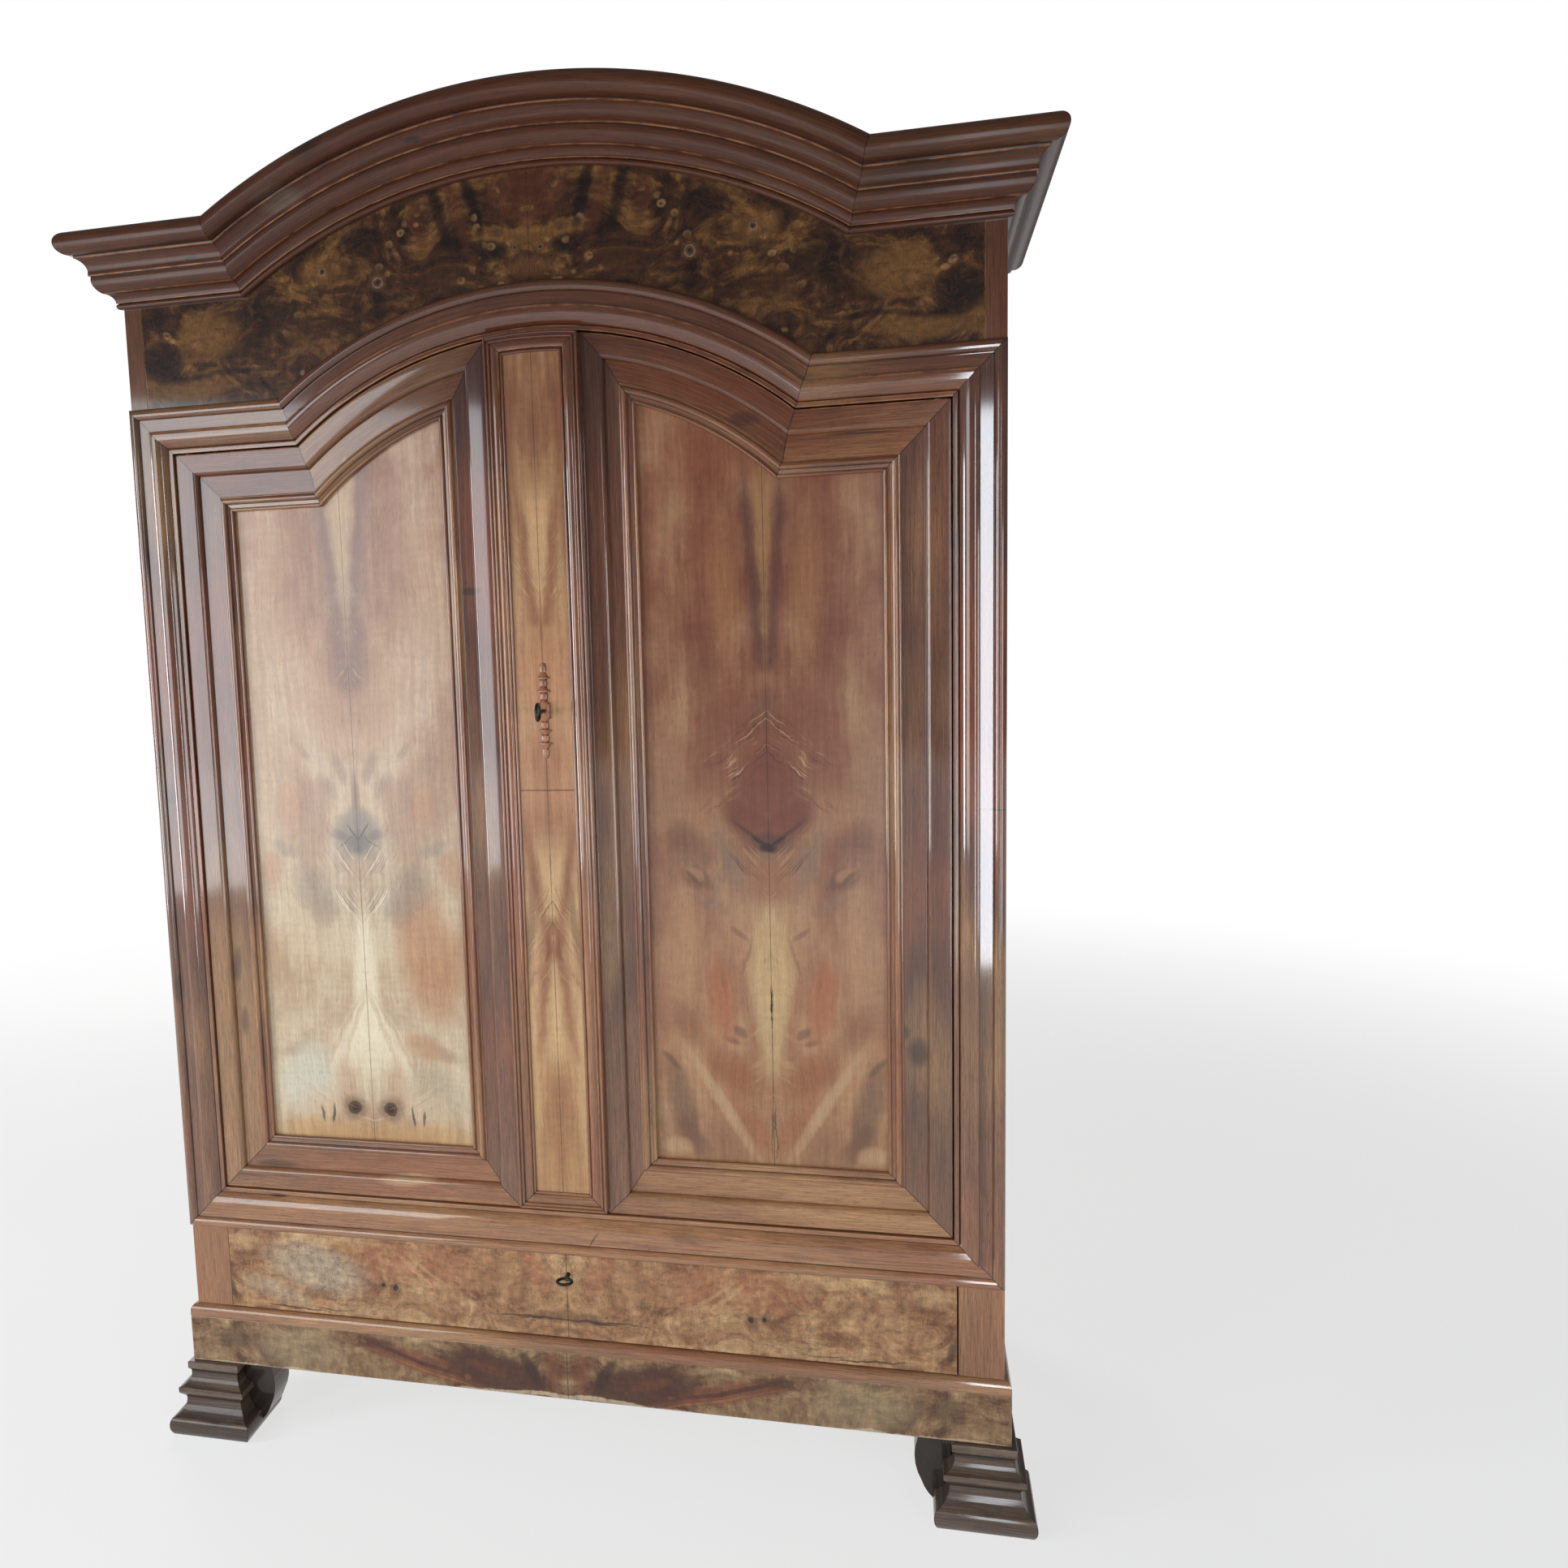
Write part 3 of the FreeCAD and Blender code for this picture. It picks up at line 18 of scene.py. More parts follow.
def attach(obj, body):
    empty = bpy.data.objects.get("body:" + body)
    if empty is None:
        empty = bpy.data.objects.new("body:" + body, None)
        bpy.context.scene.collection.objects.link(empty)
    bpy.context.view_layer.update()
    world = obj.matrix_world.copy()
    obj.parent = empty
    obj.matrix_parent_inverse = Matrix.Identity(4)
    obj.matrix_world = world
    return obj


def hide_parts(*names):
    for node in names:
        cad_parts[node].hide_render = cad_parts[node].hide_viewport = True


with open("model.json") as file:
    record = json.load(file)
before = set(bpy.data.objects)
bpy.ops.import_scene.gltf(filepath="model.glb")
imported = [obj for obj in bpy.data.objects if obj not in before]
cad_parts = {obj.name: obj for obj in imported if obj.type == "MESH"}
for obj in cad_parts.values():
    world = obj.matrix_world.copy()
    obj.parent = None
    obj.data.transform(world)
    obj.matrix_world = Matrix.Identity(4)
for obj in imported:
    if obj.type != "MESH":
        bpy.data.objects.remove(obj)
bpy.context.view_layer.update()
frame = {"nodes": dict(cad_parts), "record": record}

log = logging.getLogger("wardrobe")

Pair = tuple[float, float]
Colour = tuple[float, float, float]

RIGHT = Vector((1, 0, 0))
BACK = Vector((0, 1, 0))
UP = Vector((0, 0, 1))


class Side(Enum):
    """The half of the wardrobe that a piece belongs to, seen from the front."""

    LEFT = -1
    RIGHT = 1


@dataclass(frozen=True)
class Levels:
    """The levels and half widths that the sub-assemblies share."""

    front: float = -0.2395
    half_body: float = 0.675
    back: float = 0.3105
    surround_bottom: float = 0.372
    surround_top: float = 1.745
    surround_width: float = 0.073
    cornice_bottom: float = 1.902
    arch_span_share: float = 0.6093
    arch_rise: float = 0.138
    frieze_crown: float = 0.158
    door_gap: float = 0.002

    @property
    def surround_radius(self) -> float:
        """Give the radius of the surround's outer edge."""
        span = self.half_body * self.arch_span_share
        return (span ** 2 + self.arch_rise ** 2) / (2 * self.arch_rise)

    @property
    def arch_centre(self) -> float:
        """Give the height of the centre that all arches share."""
        return self.surround_top + self.arch_rise - self.surround_radius

    def arch_x(self, radius: float, level: float) -> float:
        """Give how far out an arch of this radius meets a level."""
        return math.sqrt(radius ** 2 - (level - self.arch_centre) ** 2)

    def arch_z(self, radius: float, x: float) -> float:
        """Give the height of an arch of this radius at a distance from the middle."""
        return self.arch_centre + math.sqrt(radius ** 2 - x ** 2)


LEVELS = Levels()
OUT = -BACK
TOUCH = 1e-6
JOINT_WIDTH = 0.0011
MITRE_GAP = 0.00012
CORNER_GAP = 0.0001
RELIEF = 0.0001
FLAT_ANGLE = math.radians(1)
SHARP_ANGLE = math.radians(20)
ARRIS_ANGLE = math.radians(32)
FLAT_DOT = 0.9999
SOLID_SHIFT = 0.731
NODE_SHIFT = 0.173
NODE_SHIFTS = 97
LATHE_SIDES = 40
OTHER_BOARD = Vector((0.37, 0.11, 3.1))


# Shader values

class Value:
    """A number that varies over a surface; arithmetic on it adds Math nodes."""

    def __init__(self, graph: "Graph", socket: bpy.types.NodeSocket) -> None:
        """Wrap an output socket of a graph."""
        self.graph = graph
        self.socket = socket

    def math(self, operation: str, *others: "Value | float") -> "Value":
        """Add one Math node.

        Args:
            operation: the node's operation.
            others: the further operands.

        Returns:
            The result.
        """
        inputs = dict(enumerate((self, *others)))
        node = self.graph.node("ShaderNodeMath", {"operation": operation}, inputs)
        return Value(self.graph, node.outputs[0])

    def __add__(self, other: "Value | float") -> "Value":
        """Add."""
        return self.math("ADD", other)

    __radd__ = __add__

    def __mul__(self, other: "Value | float") -> "Value":
        """Multiply."""
        return self.math("MULTIPLY", other)

    __rmul__ = __mul__

    def __sub__(self, other: "Value | float") -> "Value":
        """Subtract."""
        return self.math("SUBTRACT", other)

    def __rsub__(self, other: float) -> "Value":
        """Subtract this from a number."""
        return self.graph.number_math("SUBTRACT", other, self)

    def __truediv__(self, other: "Value | float") -> "Value":
        """Divide."""
        return self.math("DIVIDE", other)

    def __pow__(self, other: float) -> "Value":
        """Raise to a power."""
        return self.math("POWER", other)

    def __abs__(self) -> "Value":
        """Drop the sign."""
        return self.math("ABSOLUTE")

    def most(self, other: "Value | float") -> "Value":
        """Give the larger of two values."""
        return self.math("MAXIMUM", other)

    def rise(self, low: float, high: float, top: float = 1.0) -> "Value":
        """Go smoothly from 0 at low to the top value at high; low may be the larger one.

        Args:
            low: where the result is 0.
            high: where it is the top value.
            top: the top value.

        Returns:
            The result.
        """
        falls = low > high
        settings = {"interpolation_type": "SMOOTHSTEP"}
        ends = {1: min(low, high), 2: max(low, high), 3: top if falls else 0.0, 4: 0.0 if falls else top}
        node = self.graph.node("ShaderNodeMapRange", settings, {0: self, **ends})
        return Value(self.graph, node.outputs[0])

    def bell(self, centre: float, width: float) -> "Value":
        """Give 1 at the centre that falls off to 0 like a bell."""
        away = (self - centre) / width
        return (away * away * -1.0).math("EXPONENT")


class Graph:
    """The node tree of a material or a world with short ways to add nodes."""

    def __init__(self, owner: bpy.types.Material | bpy.types.World) -> None:
        """Empty the owner's tree.

        Args:
            owner: what the tree belongs to.
        """
        self.owner = owner
        owner.use_nodes = True
        self.tree = owner.node_tree
        self.tree.nodes.clear()

    def node(self, kind: str, settings: dict | None = None, inputs: dict | None = None) -> bpy.types.Node:
        """Add a node.

        Args:
            kind: the node's type name.
            settings: attributes of the node; "stops" holds a ramp's (place, colour) pairs.
            inputs: values or links by the sockets' names or numbers.

        Returns:
            The new node.
        """
        node = self.tree.nodes.new(kind)
        for key, value in (settings or {}).items():
            if key == "stops":
                self._fill_ramp(node.color_ramp, value)
            else:
                setattr(node, key, value)
        for key, value in (inputs or {}).items():
            socket = node.inputs[key]
            source = value.socket if isinstance(value, Value) else value
            if isinstance(source, bpy.types.NodeSocket):
                self.tree.links.new(source, socket)
            elif isinstance(source, tuple) and len(source) == 3 and socket.type == "RGBA":
                socket.default_value = (*source, 1.0)
            else:
                socket.default_value = source
        return node

    @staticmethod
    def _fill_ramp(ramp: bpy.types.ColorRamp, stops: Sequence[tuple[float, Colour]]) -> None:
        """Give a ramp its stops.

        Args:
            ramp: the ramp.
            stops: its places and colours.
        """
        while len(ramp.elements) < len(stops):
            ramp.elements.new(1.0)
        for element, (place, colour) in zip(ramp.elements, stops):
            element.position = place
            element.color = (*colour, 1.0)

    def number_math(self, operation: str, first: float, second: Value) -> Value:
        """Add a Math node whose first operand is a number."""
        node = self.node("ShaderNodeMath", {"operation": operation}, {0: first, 1: second})
        return Value(self, node.outputs[0])

    def vector(self, x: Value | float, y: Value | float, z: Value | float) -> bpy.types.NodeSocket:
        """Join three values to a vector."""
        return self.node("ShaderNodeCombineXYZ", None, {0: x, 1: y, 2: z}).outputs[0]

    def split(self, vector: bpy.types.NodeSocket) -> tuple[Value, Value, Value]:
        """Split a vector into its three values."""
        node = self.node("ShaderNodeSeparateXYZ", None, {0: vector})
        return Value(self, node.outputs[0]), Value(self, node.outputs[1]), Value(self, node.outputs[2])

    def place(self) -> tuple[Value, Value, Value]:
        """Give the object coordinates."""
        return self.split(self.node("ShaderNodeTexCoord").outputs["Object"])

    def attribute(self, name: str) -> Value:
        """Read a number that the piece's mesh carries."""
        return Value(self, self.node("ShaderNodeAttribute", {"attribute_name": name}).outputs["Fac"])

    def noise(self, x: Value | float, y: Value | float, z: Value | float, detail: float = 2.0,
              roughness: float = 0.5, distortion: float = 0.0) -> Value:
        """Give noise from 0 to 1 at a place, with cells of about one unit.

        Args:
            x: the place across.
            y: the place in depth.
            z: the place in height.
            detail: how many finer layers it has.
            roughness: how strong the finer layers are.
            distortion: how far the place is bent.

        Returns:
            The noise.
        """
        node = self.node("ShaderNodeTexNoise", {"noise_dimensions": "3D"},
                         {"Vector": self.vector(x, y, z), "Scale": 1.0, "Detail": detail,
                          "Roughness": roughness, "Distortion": distortion})
        return Value(self, node.outputs[0])

    def cells(self, x: Value | float, y: Value | float, z: Value | float) -> Value:
        """Give the distance to the nearest of scattered points, one to a unit cell.

        Args:
            x: the place across.
            y: the place in depth.
            z: the place in height.

        Returns:
            The distance.
        """
        node = self.node("ShaderNodeTexVoronoi", {"feature": "F1"},
                         {"Vector": self.vector(x, y, z), "Scale": 1.0, "Randomness": 1.0})
        return Value(self, node.outputs["Distance"])

    def ramp(self, value: Value, stops: Sequence[tuple[float, Colour]]) -> bpy.types.NodeSocket:
        """Turn a value into a colour."""
        return self.node("ShaderNodeValToRGB", {"stops": stops}, {0: value}).outputs[0]

    def mix(self, share: Value | float, first: object, second: object,
            blend: str = "MIX") -> bpy.types.NodeSocket:
        """Mix two colours.

        Args:
            share: the share of the second colour.
            first: the colour below.
            second: the colour above.
            blend: how they are mixed.

        Returns:
            The mixed colour.
        """
        node = self.node("ShaderNodeMix", {"data_type": "RGBA", "blend_type": blend, "clamp_factor": True},
                         {0: share, 6: first, 7: second})
        return node.outputs[2]

    def finish(self, colour: object, roughness: Value | float, height: Value | None, depth: float,
               coat: float = 0.0, metallic: float = 0.0, coat_roughness: float = 0.07,
               specular: float = 0.5, coat_ior: float = 1.5) -> bpy.types.Material:
        """Close the graph with a surface.

        Args:
            colour: the base colour.
            roughness: the base roughness.
            height: relief from 0 to 1, or None.
            depth: how deep a relief of 1 is, in metres.
            coat: weight of the clear coat.
            metallic: 1 for metal.
            coat_roughness: roughness of the clear coat.
            specular: level of the base reflection.
            coat_ior: refraction of the clear coat.

        Returns:
            The material.
        """
        inputs = {"Base Color": colour, "Roughness": roughness, "Metallic": metallic, "Coat Weight": coat,
                  "Coat Roughness": coat_roughness, "Coat IOR": coat_ior, "Specular IOR Level": specular}
        if height is not None:
            bump = self.node("ShaderNodeBump", None, {"Strength": 1.0, "Distance": depth, "Height": height})
            inputs["Normal"] = bump.outputs[0]
        shader = self.node("ShaderNodeBsdfPrincipled", None, inputs)
        self.node("ShaderNodeOutputMaterial", None, {"Surface": shader.outputs[0]})
        return self.owner


# Finishes

@dataclass(frozen=True)
class WoodTones:
    """The colours of a wood from its dark rings to its pale ones, and of its pores."""

    dark: Colour
    middle: Colour
    light: Colour
    pore: Colour


WALNUT = WoodTones((0.05, 0.016, 0.008), (0.175, 0.058, 0.024), (0.35, 0.155, 0.065), (0.018, 0.007, 0.005))
CARVED = WoodTones((0.075, 0.022, 0.012), (0.23, 0.078, 0.038), (0.48, 0.23, 0.13), (0.02, 0.008, 0.005))
# FOOT is a dark walnut whose cool grey is a painted sheen of window light.
FOOT = WoodTones((0.026, 0.018, 0.014), (0.07, 0.046, 0.034), (0.16, 0.11, 0.08), (0.012, 0.008, 0.007))
STILE = WoodTones((0.03, 0.01, 0.007), (0.095, 0.032, 0.018), (0.22, 0.09, 0.046), (0.012, 0.005, 0.004))
GOLDEN = (0.43, 0.235, 0.095)
RUSSET = (0.23, 0.058, 0.022)
# A pale brown for a rubbed spot on a rail and for the painted light that lightens the wood towards the floor.
PALE_WEAR_AND_PAINTED_LIGHT = (0.42, 0.25, 0.14)
INK = (0.018, 0.01, 0.008)
BACKING = ((0.15, 0.072, 0.034), (0.29, 0.16, 0.08))
PINE = WoodTones((0.25, 0.13, 0.055), (0.43, 0.26, 0.125), (0.56, 0.38, 0.21), (0.16, 0.08, 0.035))
BEECH = WoodTones((0.3, 0.16, 0.075), (0.46, 0.29, 0.15), (0.56, 0.38, 0.22), (0.22, 0.11, 0.05))


@dataclass(frozen=True)
class GrainedWood:
    """Straight-grained wood that follows the grain attribute of its piece."""

    name: str
    tones: WoodTones
    ring_width: float = 0.011
    gloss: float = 0.28
    coat: float = 0.75
    specular: float = 0.15
    wear: float = 0.6
    stain: float = 0.5
    tinted: bool = True
    scars: tuple["Mark", ...] = ()
    coat_ior: float = 1.5
    coat_roughness: float = 0.07

    def build(self) -> bpy.types.Material:
        """Build the material.

        Returns:
            The material.
        """
        g = Graph(bpy.data.materials.new(self.name))
        grain = g.node("ShaderNodeAttribute", {"attribute_name": "grain"})
        along, across, deep = g.split(grain.outputs["Vector"])
        wear, joint = g.attribute("wear"), g.attribute("joint")

        def figure(length: float, width: float, detail: float = 2.0, roughness: float = 0.5) -> Value:
            """Give noise with this many cells to a metre along and across the grain."""
            return g.noise(along * length, across * width, deep * width, detail, roughness)

        wander = figure(1.3, 5.0) - 0.5
        ring = (across + deep * 0.6 + wander * 0.045) / self.ring_width
        rings = g.noise(along * 1.1, ring, deep * 7.0, 2.0, 0.6)
        streak = g.noise(along * 2.5, ring * 4.5, deep * 60.0, 2.0, 0.6)
        tone = figure(1.7, 4.0, 3.0, 0.6)
        fibre = figure(22.0, 800.0)
        pores = figure(70.0, 1700.0, 1.0).rise(0.6, 0.72)
        t = self.tones
        body = g.ramp(rings * 0.26 + streak * 0.22 + tone * 0.52,
                      [(0.34, t.dark), (0.48, t.middle), (0.66, t.light)])
        if self.tinted:
            hue = g.noise(along * 2.2 + 7.0, across * 6.0, deep * 6.0, 2.0)
            body = g.mix(hue.rise(0.5, 0.7) * 0.5, body, GOLDEN)
            body = g.mix(hue.rise(0.5, 0.32) * 0.6, body, RUSSET)
            x, _, z = g.place()
            # Painted light: the wood is lightened towards the floor.
            body = g.mix(z.rise(1.2, 0.2, 0.26), body, PALE_WEAR_AND_PAINTED_LIGHT)
            # Painted shade: the wood is darkened towards the top.
            body = g.mix(z.rise(1.4, 1.94, 0.9), body, t.dark)
            bent = (tone - 0.5) * 0.016
            spot = g.vector(x + bent, z + bent, 0.0)
            for scar in self.scars:
                body = scar.paint(g, body, spot, x)
        body = g.mix(0.3, body, fibre.rise(0.25, 0.75), "OVERLAY")
        body = g.mix(pores * 0.55, body, t.pore)
        stain = figure(5.0, 14.0, 4.0, 0.65).rise(0.6, 0.8)
        body = g.mix(stain * self.stain, body, t.dark)
        chipped = figure(40.0, 90.0, 3.0)
        body = g.mix(wear.most(0.0) * chipped.rise(0.3, 0.65) * self.wear, body, t.light)
        # Dust and painted shade: where the wear value is below 0, in hollow corners and at the carving's
        # foot, the wood is darkened to its pore colour.
        body = g.mix((wear * -1.0).most(0.0) * 0.85, body, t.pore)
        body = g.mix(joint * 0.85, body, t.pore)
        rough = self.gloss + fibre * 0.06 + stain * 0.15 + chipped * 0.06
        relief = fibre * 0.35 - pores * 0.7 + figure(9.0, 30.0) * 2.0
        return g.finish(body, rough, relief, RELIEF, self.coat, coat_roughness=self.coat_roughness,
                        specular=self.specular, coat_ior=self.coat_ior)


@dataclass(frozen=True)
class Mark:
    """A soft patch of a veneer's figure, beside its seam and above the floor."""

    out: float
    level: float
    half_width: float
    half_height: float
    colour: Colour
    strength: float = 0.8
    lean: float = 0.0
    firm: float = 0.0
    side: Side | None = None

    def paint(self, g: Graph, body: object, place: bpy.types.NodeSocket,
              beside: Value) -> bpy.types.NodeSocket:
        """Paint the patch over a colour.

        Args:
            g: the material's graph.
            body: the colour below it.
            place: the distance from the seam and the height above the floor, as a vector.
            beside: the distance to the right of the seam.

        Returns:
            The painted colour.
        """
        cross = 1.0 / self.half_width ** 2
        skew = -self.lean * cross
        rise = self.lean ** 2 * cross + 1.0 / self.half_height ** 2
        middle, spread = (cross + rise) / 2, math.hypot((cross - rise) / 2, skew)
        turn = 0.5 * math.atan2(2 * skew, cross - rise)
        axes = (1 / math.sqrt(middle + spread), 1 / math.sqrt(middle - spread), 1.0)
        local = g.node("ShaderNodeMapping", {"vector_type": "TEXTURE"},
                       {"Vector": place, "Location": (self.out, self.level, 0.0),
                        "Rotation": (0.0, 0.0, turn), "Scale": axes}).outputs[0]
        apart = g.node("ShaderNodeVectorMath", {"operation": "DOT_PRODUCT"}, {0: local, 1: local})
        share = Value(g, apart.outputs["Value"]).rise(1.0, self.firm, self.strength)
        if self.side:
            share = share * (beside * self.side.value).rise(-0.01, 0.01)
        return g.mix(share, body, self.colour)


STILE_SCARS = (
    Mark(0.549, 0.726, 0.02, 0.03, INK, 0.75), Mark(0.528, 0.756, 0.012, 0.015, INK, 0.6),
    Mark(-0.116, 1.435, 0.026, 0.008, INK, 0.6), Mark(-0.558, 0.832, 0.012, 0.04, INK, 0.55, 0.1),
    Mark(-0.551, 0.735, 0.01, 0.03, INK, 0.5), Mark(0.655, 1.094, 0.03, 0.0016, INK, 0.9, firm=0.3),
    Mark(-0.649, 1.121, 0.018, 0.02, INK, 0.5), Mark(-0.66, 0.794, 0.012, 0.03, INK, 0.5))
RAIL_SCARS = (
    Mark(-0.303, 1.64, 0.016, 0.014, PALE_WEAR_AND_PAINTED_LIGHT, 0.8, firm=0.2),
    Mark(-0.314, 1.636, 0.004, 0.02, INK, 0.9, 0.6, firm=0.3), Mark(0.31, 1.664, 0.03, 0.014, INK, 0.55),
    Mark(0.48, 1.633, 0.07, 0.0022, INK, 0.7, firm=0.2), Mark(-0.509, 0.486, 0.05, 0.008, INK, 0.6),
    Mark(-0.27, 0.478, 0.06, 0.012, (0.5, 0.33, 0.18), 0.6, 1.5))
MOULDING_SCARS = (
    Mark(-0.38, 1.722, 0.03, 0.0035, INK, 0.8, 1.2, firm=0.2),
    Mark(-0.418, 1.679, 0.022, 0.003, INK, 0.8, -1.0, firm=0.2),
    Mark(0.049, 0.406, 0.0022, 0.02, INK, 0.7, 0.6, firm=0.1),
    Mark(-0.618, 0.441, 0.03, 0.003, INK, 0.8, firm=0.2),
    Mark(-0.504, 0.438, 0.022, 0.004, INK, 0.8, 0.8, firm=0.2))
CORNICE_SCARS = (
    Mark(-0.316, 2.087, 0.03, 0.03, INK, 0.65, 0.4),
    Mark(-0.159, 2.086, 0.018, 0.005, INK, 0.85, 0.5, firm=0.2),
    Mark(-0.373, 2.024, 0.04, 0.02, (0.1, 0.07, 0.05), 0.6, 0.8),
    Mark(-0.53, 1.958, 0.012, 0.004, INK, 0.9, 1.5, firm=0.3), Mark(0.55, 1.96, 0.09, 0.03, INK, 0.45))


@dataclass(frozen=True)
class Wedge:
    """A tongue of the figure on the seam, from its tip to its wide end, with dark edges."""

    tip: float
    end: float
    half_width: float
    colour: Colour
    edge: Colour
    strength: float = 0.8
    soft: float = 0.006

    def paint(self, g: Graph, body: object, apart: Value, level: Value) -> bpy.types.NodeSocket:
        """Paint the tongue over a colour.

        Args:
            g: the material's graph.
            body: the colour below it.
            apart: the distance from the seam.
            level: the height above the floor.

        Returns:
            The colour with it painted over.
        """
        run = (level - self.tip) / (self.end - self.tip)
        width = run.most(0.0) ** 0.8 * self.half_width
        fade = run.rise(1.25, 0.85) * run.rise(-0.02, 0.06)
        inside = (width - apart).rise(0.0, self.soft) * fade
        rim = (apart - width - self.soft * 0.4).bell(0.0, self.soft) * fade
        body = g.mix(inside * self.strength, body, self.colour)
        return g.mix(rim * 0.65, body, self.edge)


@dataclass(frozen=True)
class Plume:
    """Fine bent lines that leave the seam on both sides, like the barbs of a feather."""

    low: float
    high: float
    reach: float
    slope: float
    bend: float
    pale: Colour
    dark: Colour
    strength: float = 0.7
    pitch: float = 0.006

    def paint(self, g: Graph, body: object, apart: Value, level: Value) -> bpy.types.NodeSocket:
        """Paint the lines over a colour.

        Args:
            g: the material's graph.
            body: the colour below it.
            apart: the distance from the seam.
            level: the height above the floor.

        Returns:
            The colour with it painted over.
        """
        waver = g.noise(apart * 30.0, level * 30.0, self.high, 2.0) - 0.5
        phase = (level - apart * self.slope - apart * apart * self.bend + waver * 0.012) / self.pitch
        lines = g.noise(phase, apart * 14.0, self.low, 1.0, 0.5)
        root = level - apart * self.slope
        span = root.rise(self.low, self.low + 0.02) * root.rise(self.high, self.high - 0.02)
        span = span * apart.rise(self.reach, self.reach * 0.45, self.strength) * waver.rise(-0.12, 0.1)
        body = g.mix(lines.rise(0.56, 0.68) * span, body, self.pale)
        return g.mix(lines.rise(0.45, 0.35) * span, body, self.dark)


def knot(out: float, level: float, half: float) -> tuple[Mark, ...]:
    """Give the marks of a knot.

    Args:
        out: its distance from the seam.
        level: its height above the floor.
        half: its half width.

    Returns:
        A brown halo, a pale rim, a dark ring and a black core.
    """
    shades = ((2.3, (0.11, 0.05, 0.028), 0.65, 0.0), (1.35, (0.3, 0.18, 0.09), 0.5, 0.55),
              (1.1, (0.035, 0.018, 0.012), 0.85, 0.5), (0.55, (0.01, 0.008, 0.007), 0.8, 0.3))
    return tuple(Mark(out, level, half * grow, half * grow, colour, strength, 0.0, firm)
                 for grow, colour, strength, firm in shades)


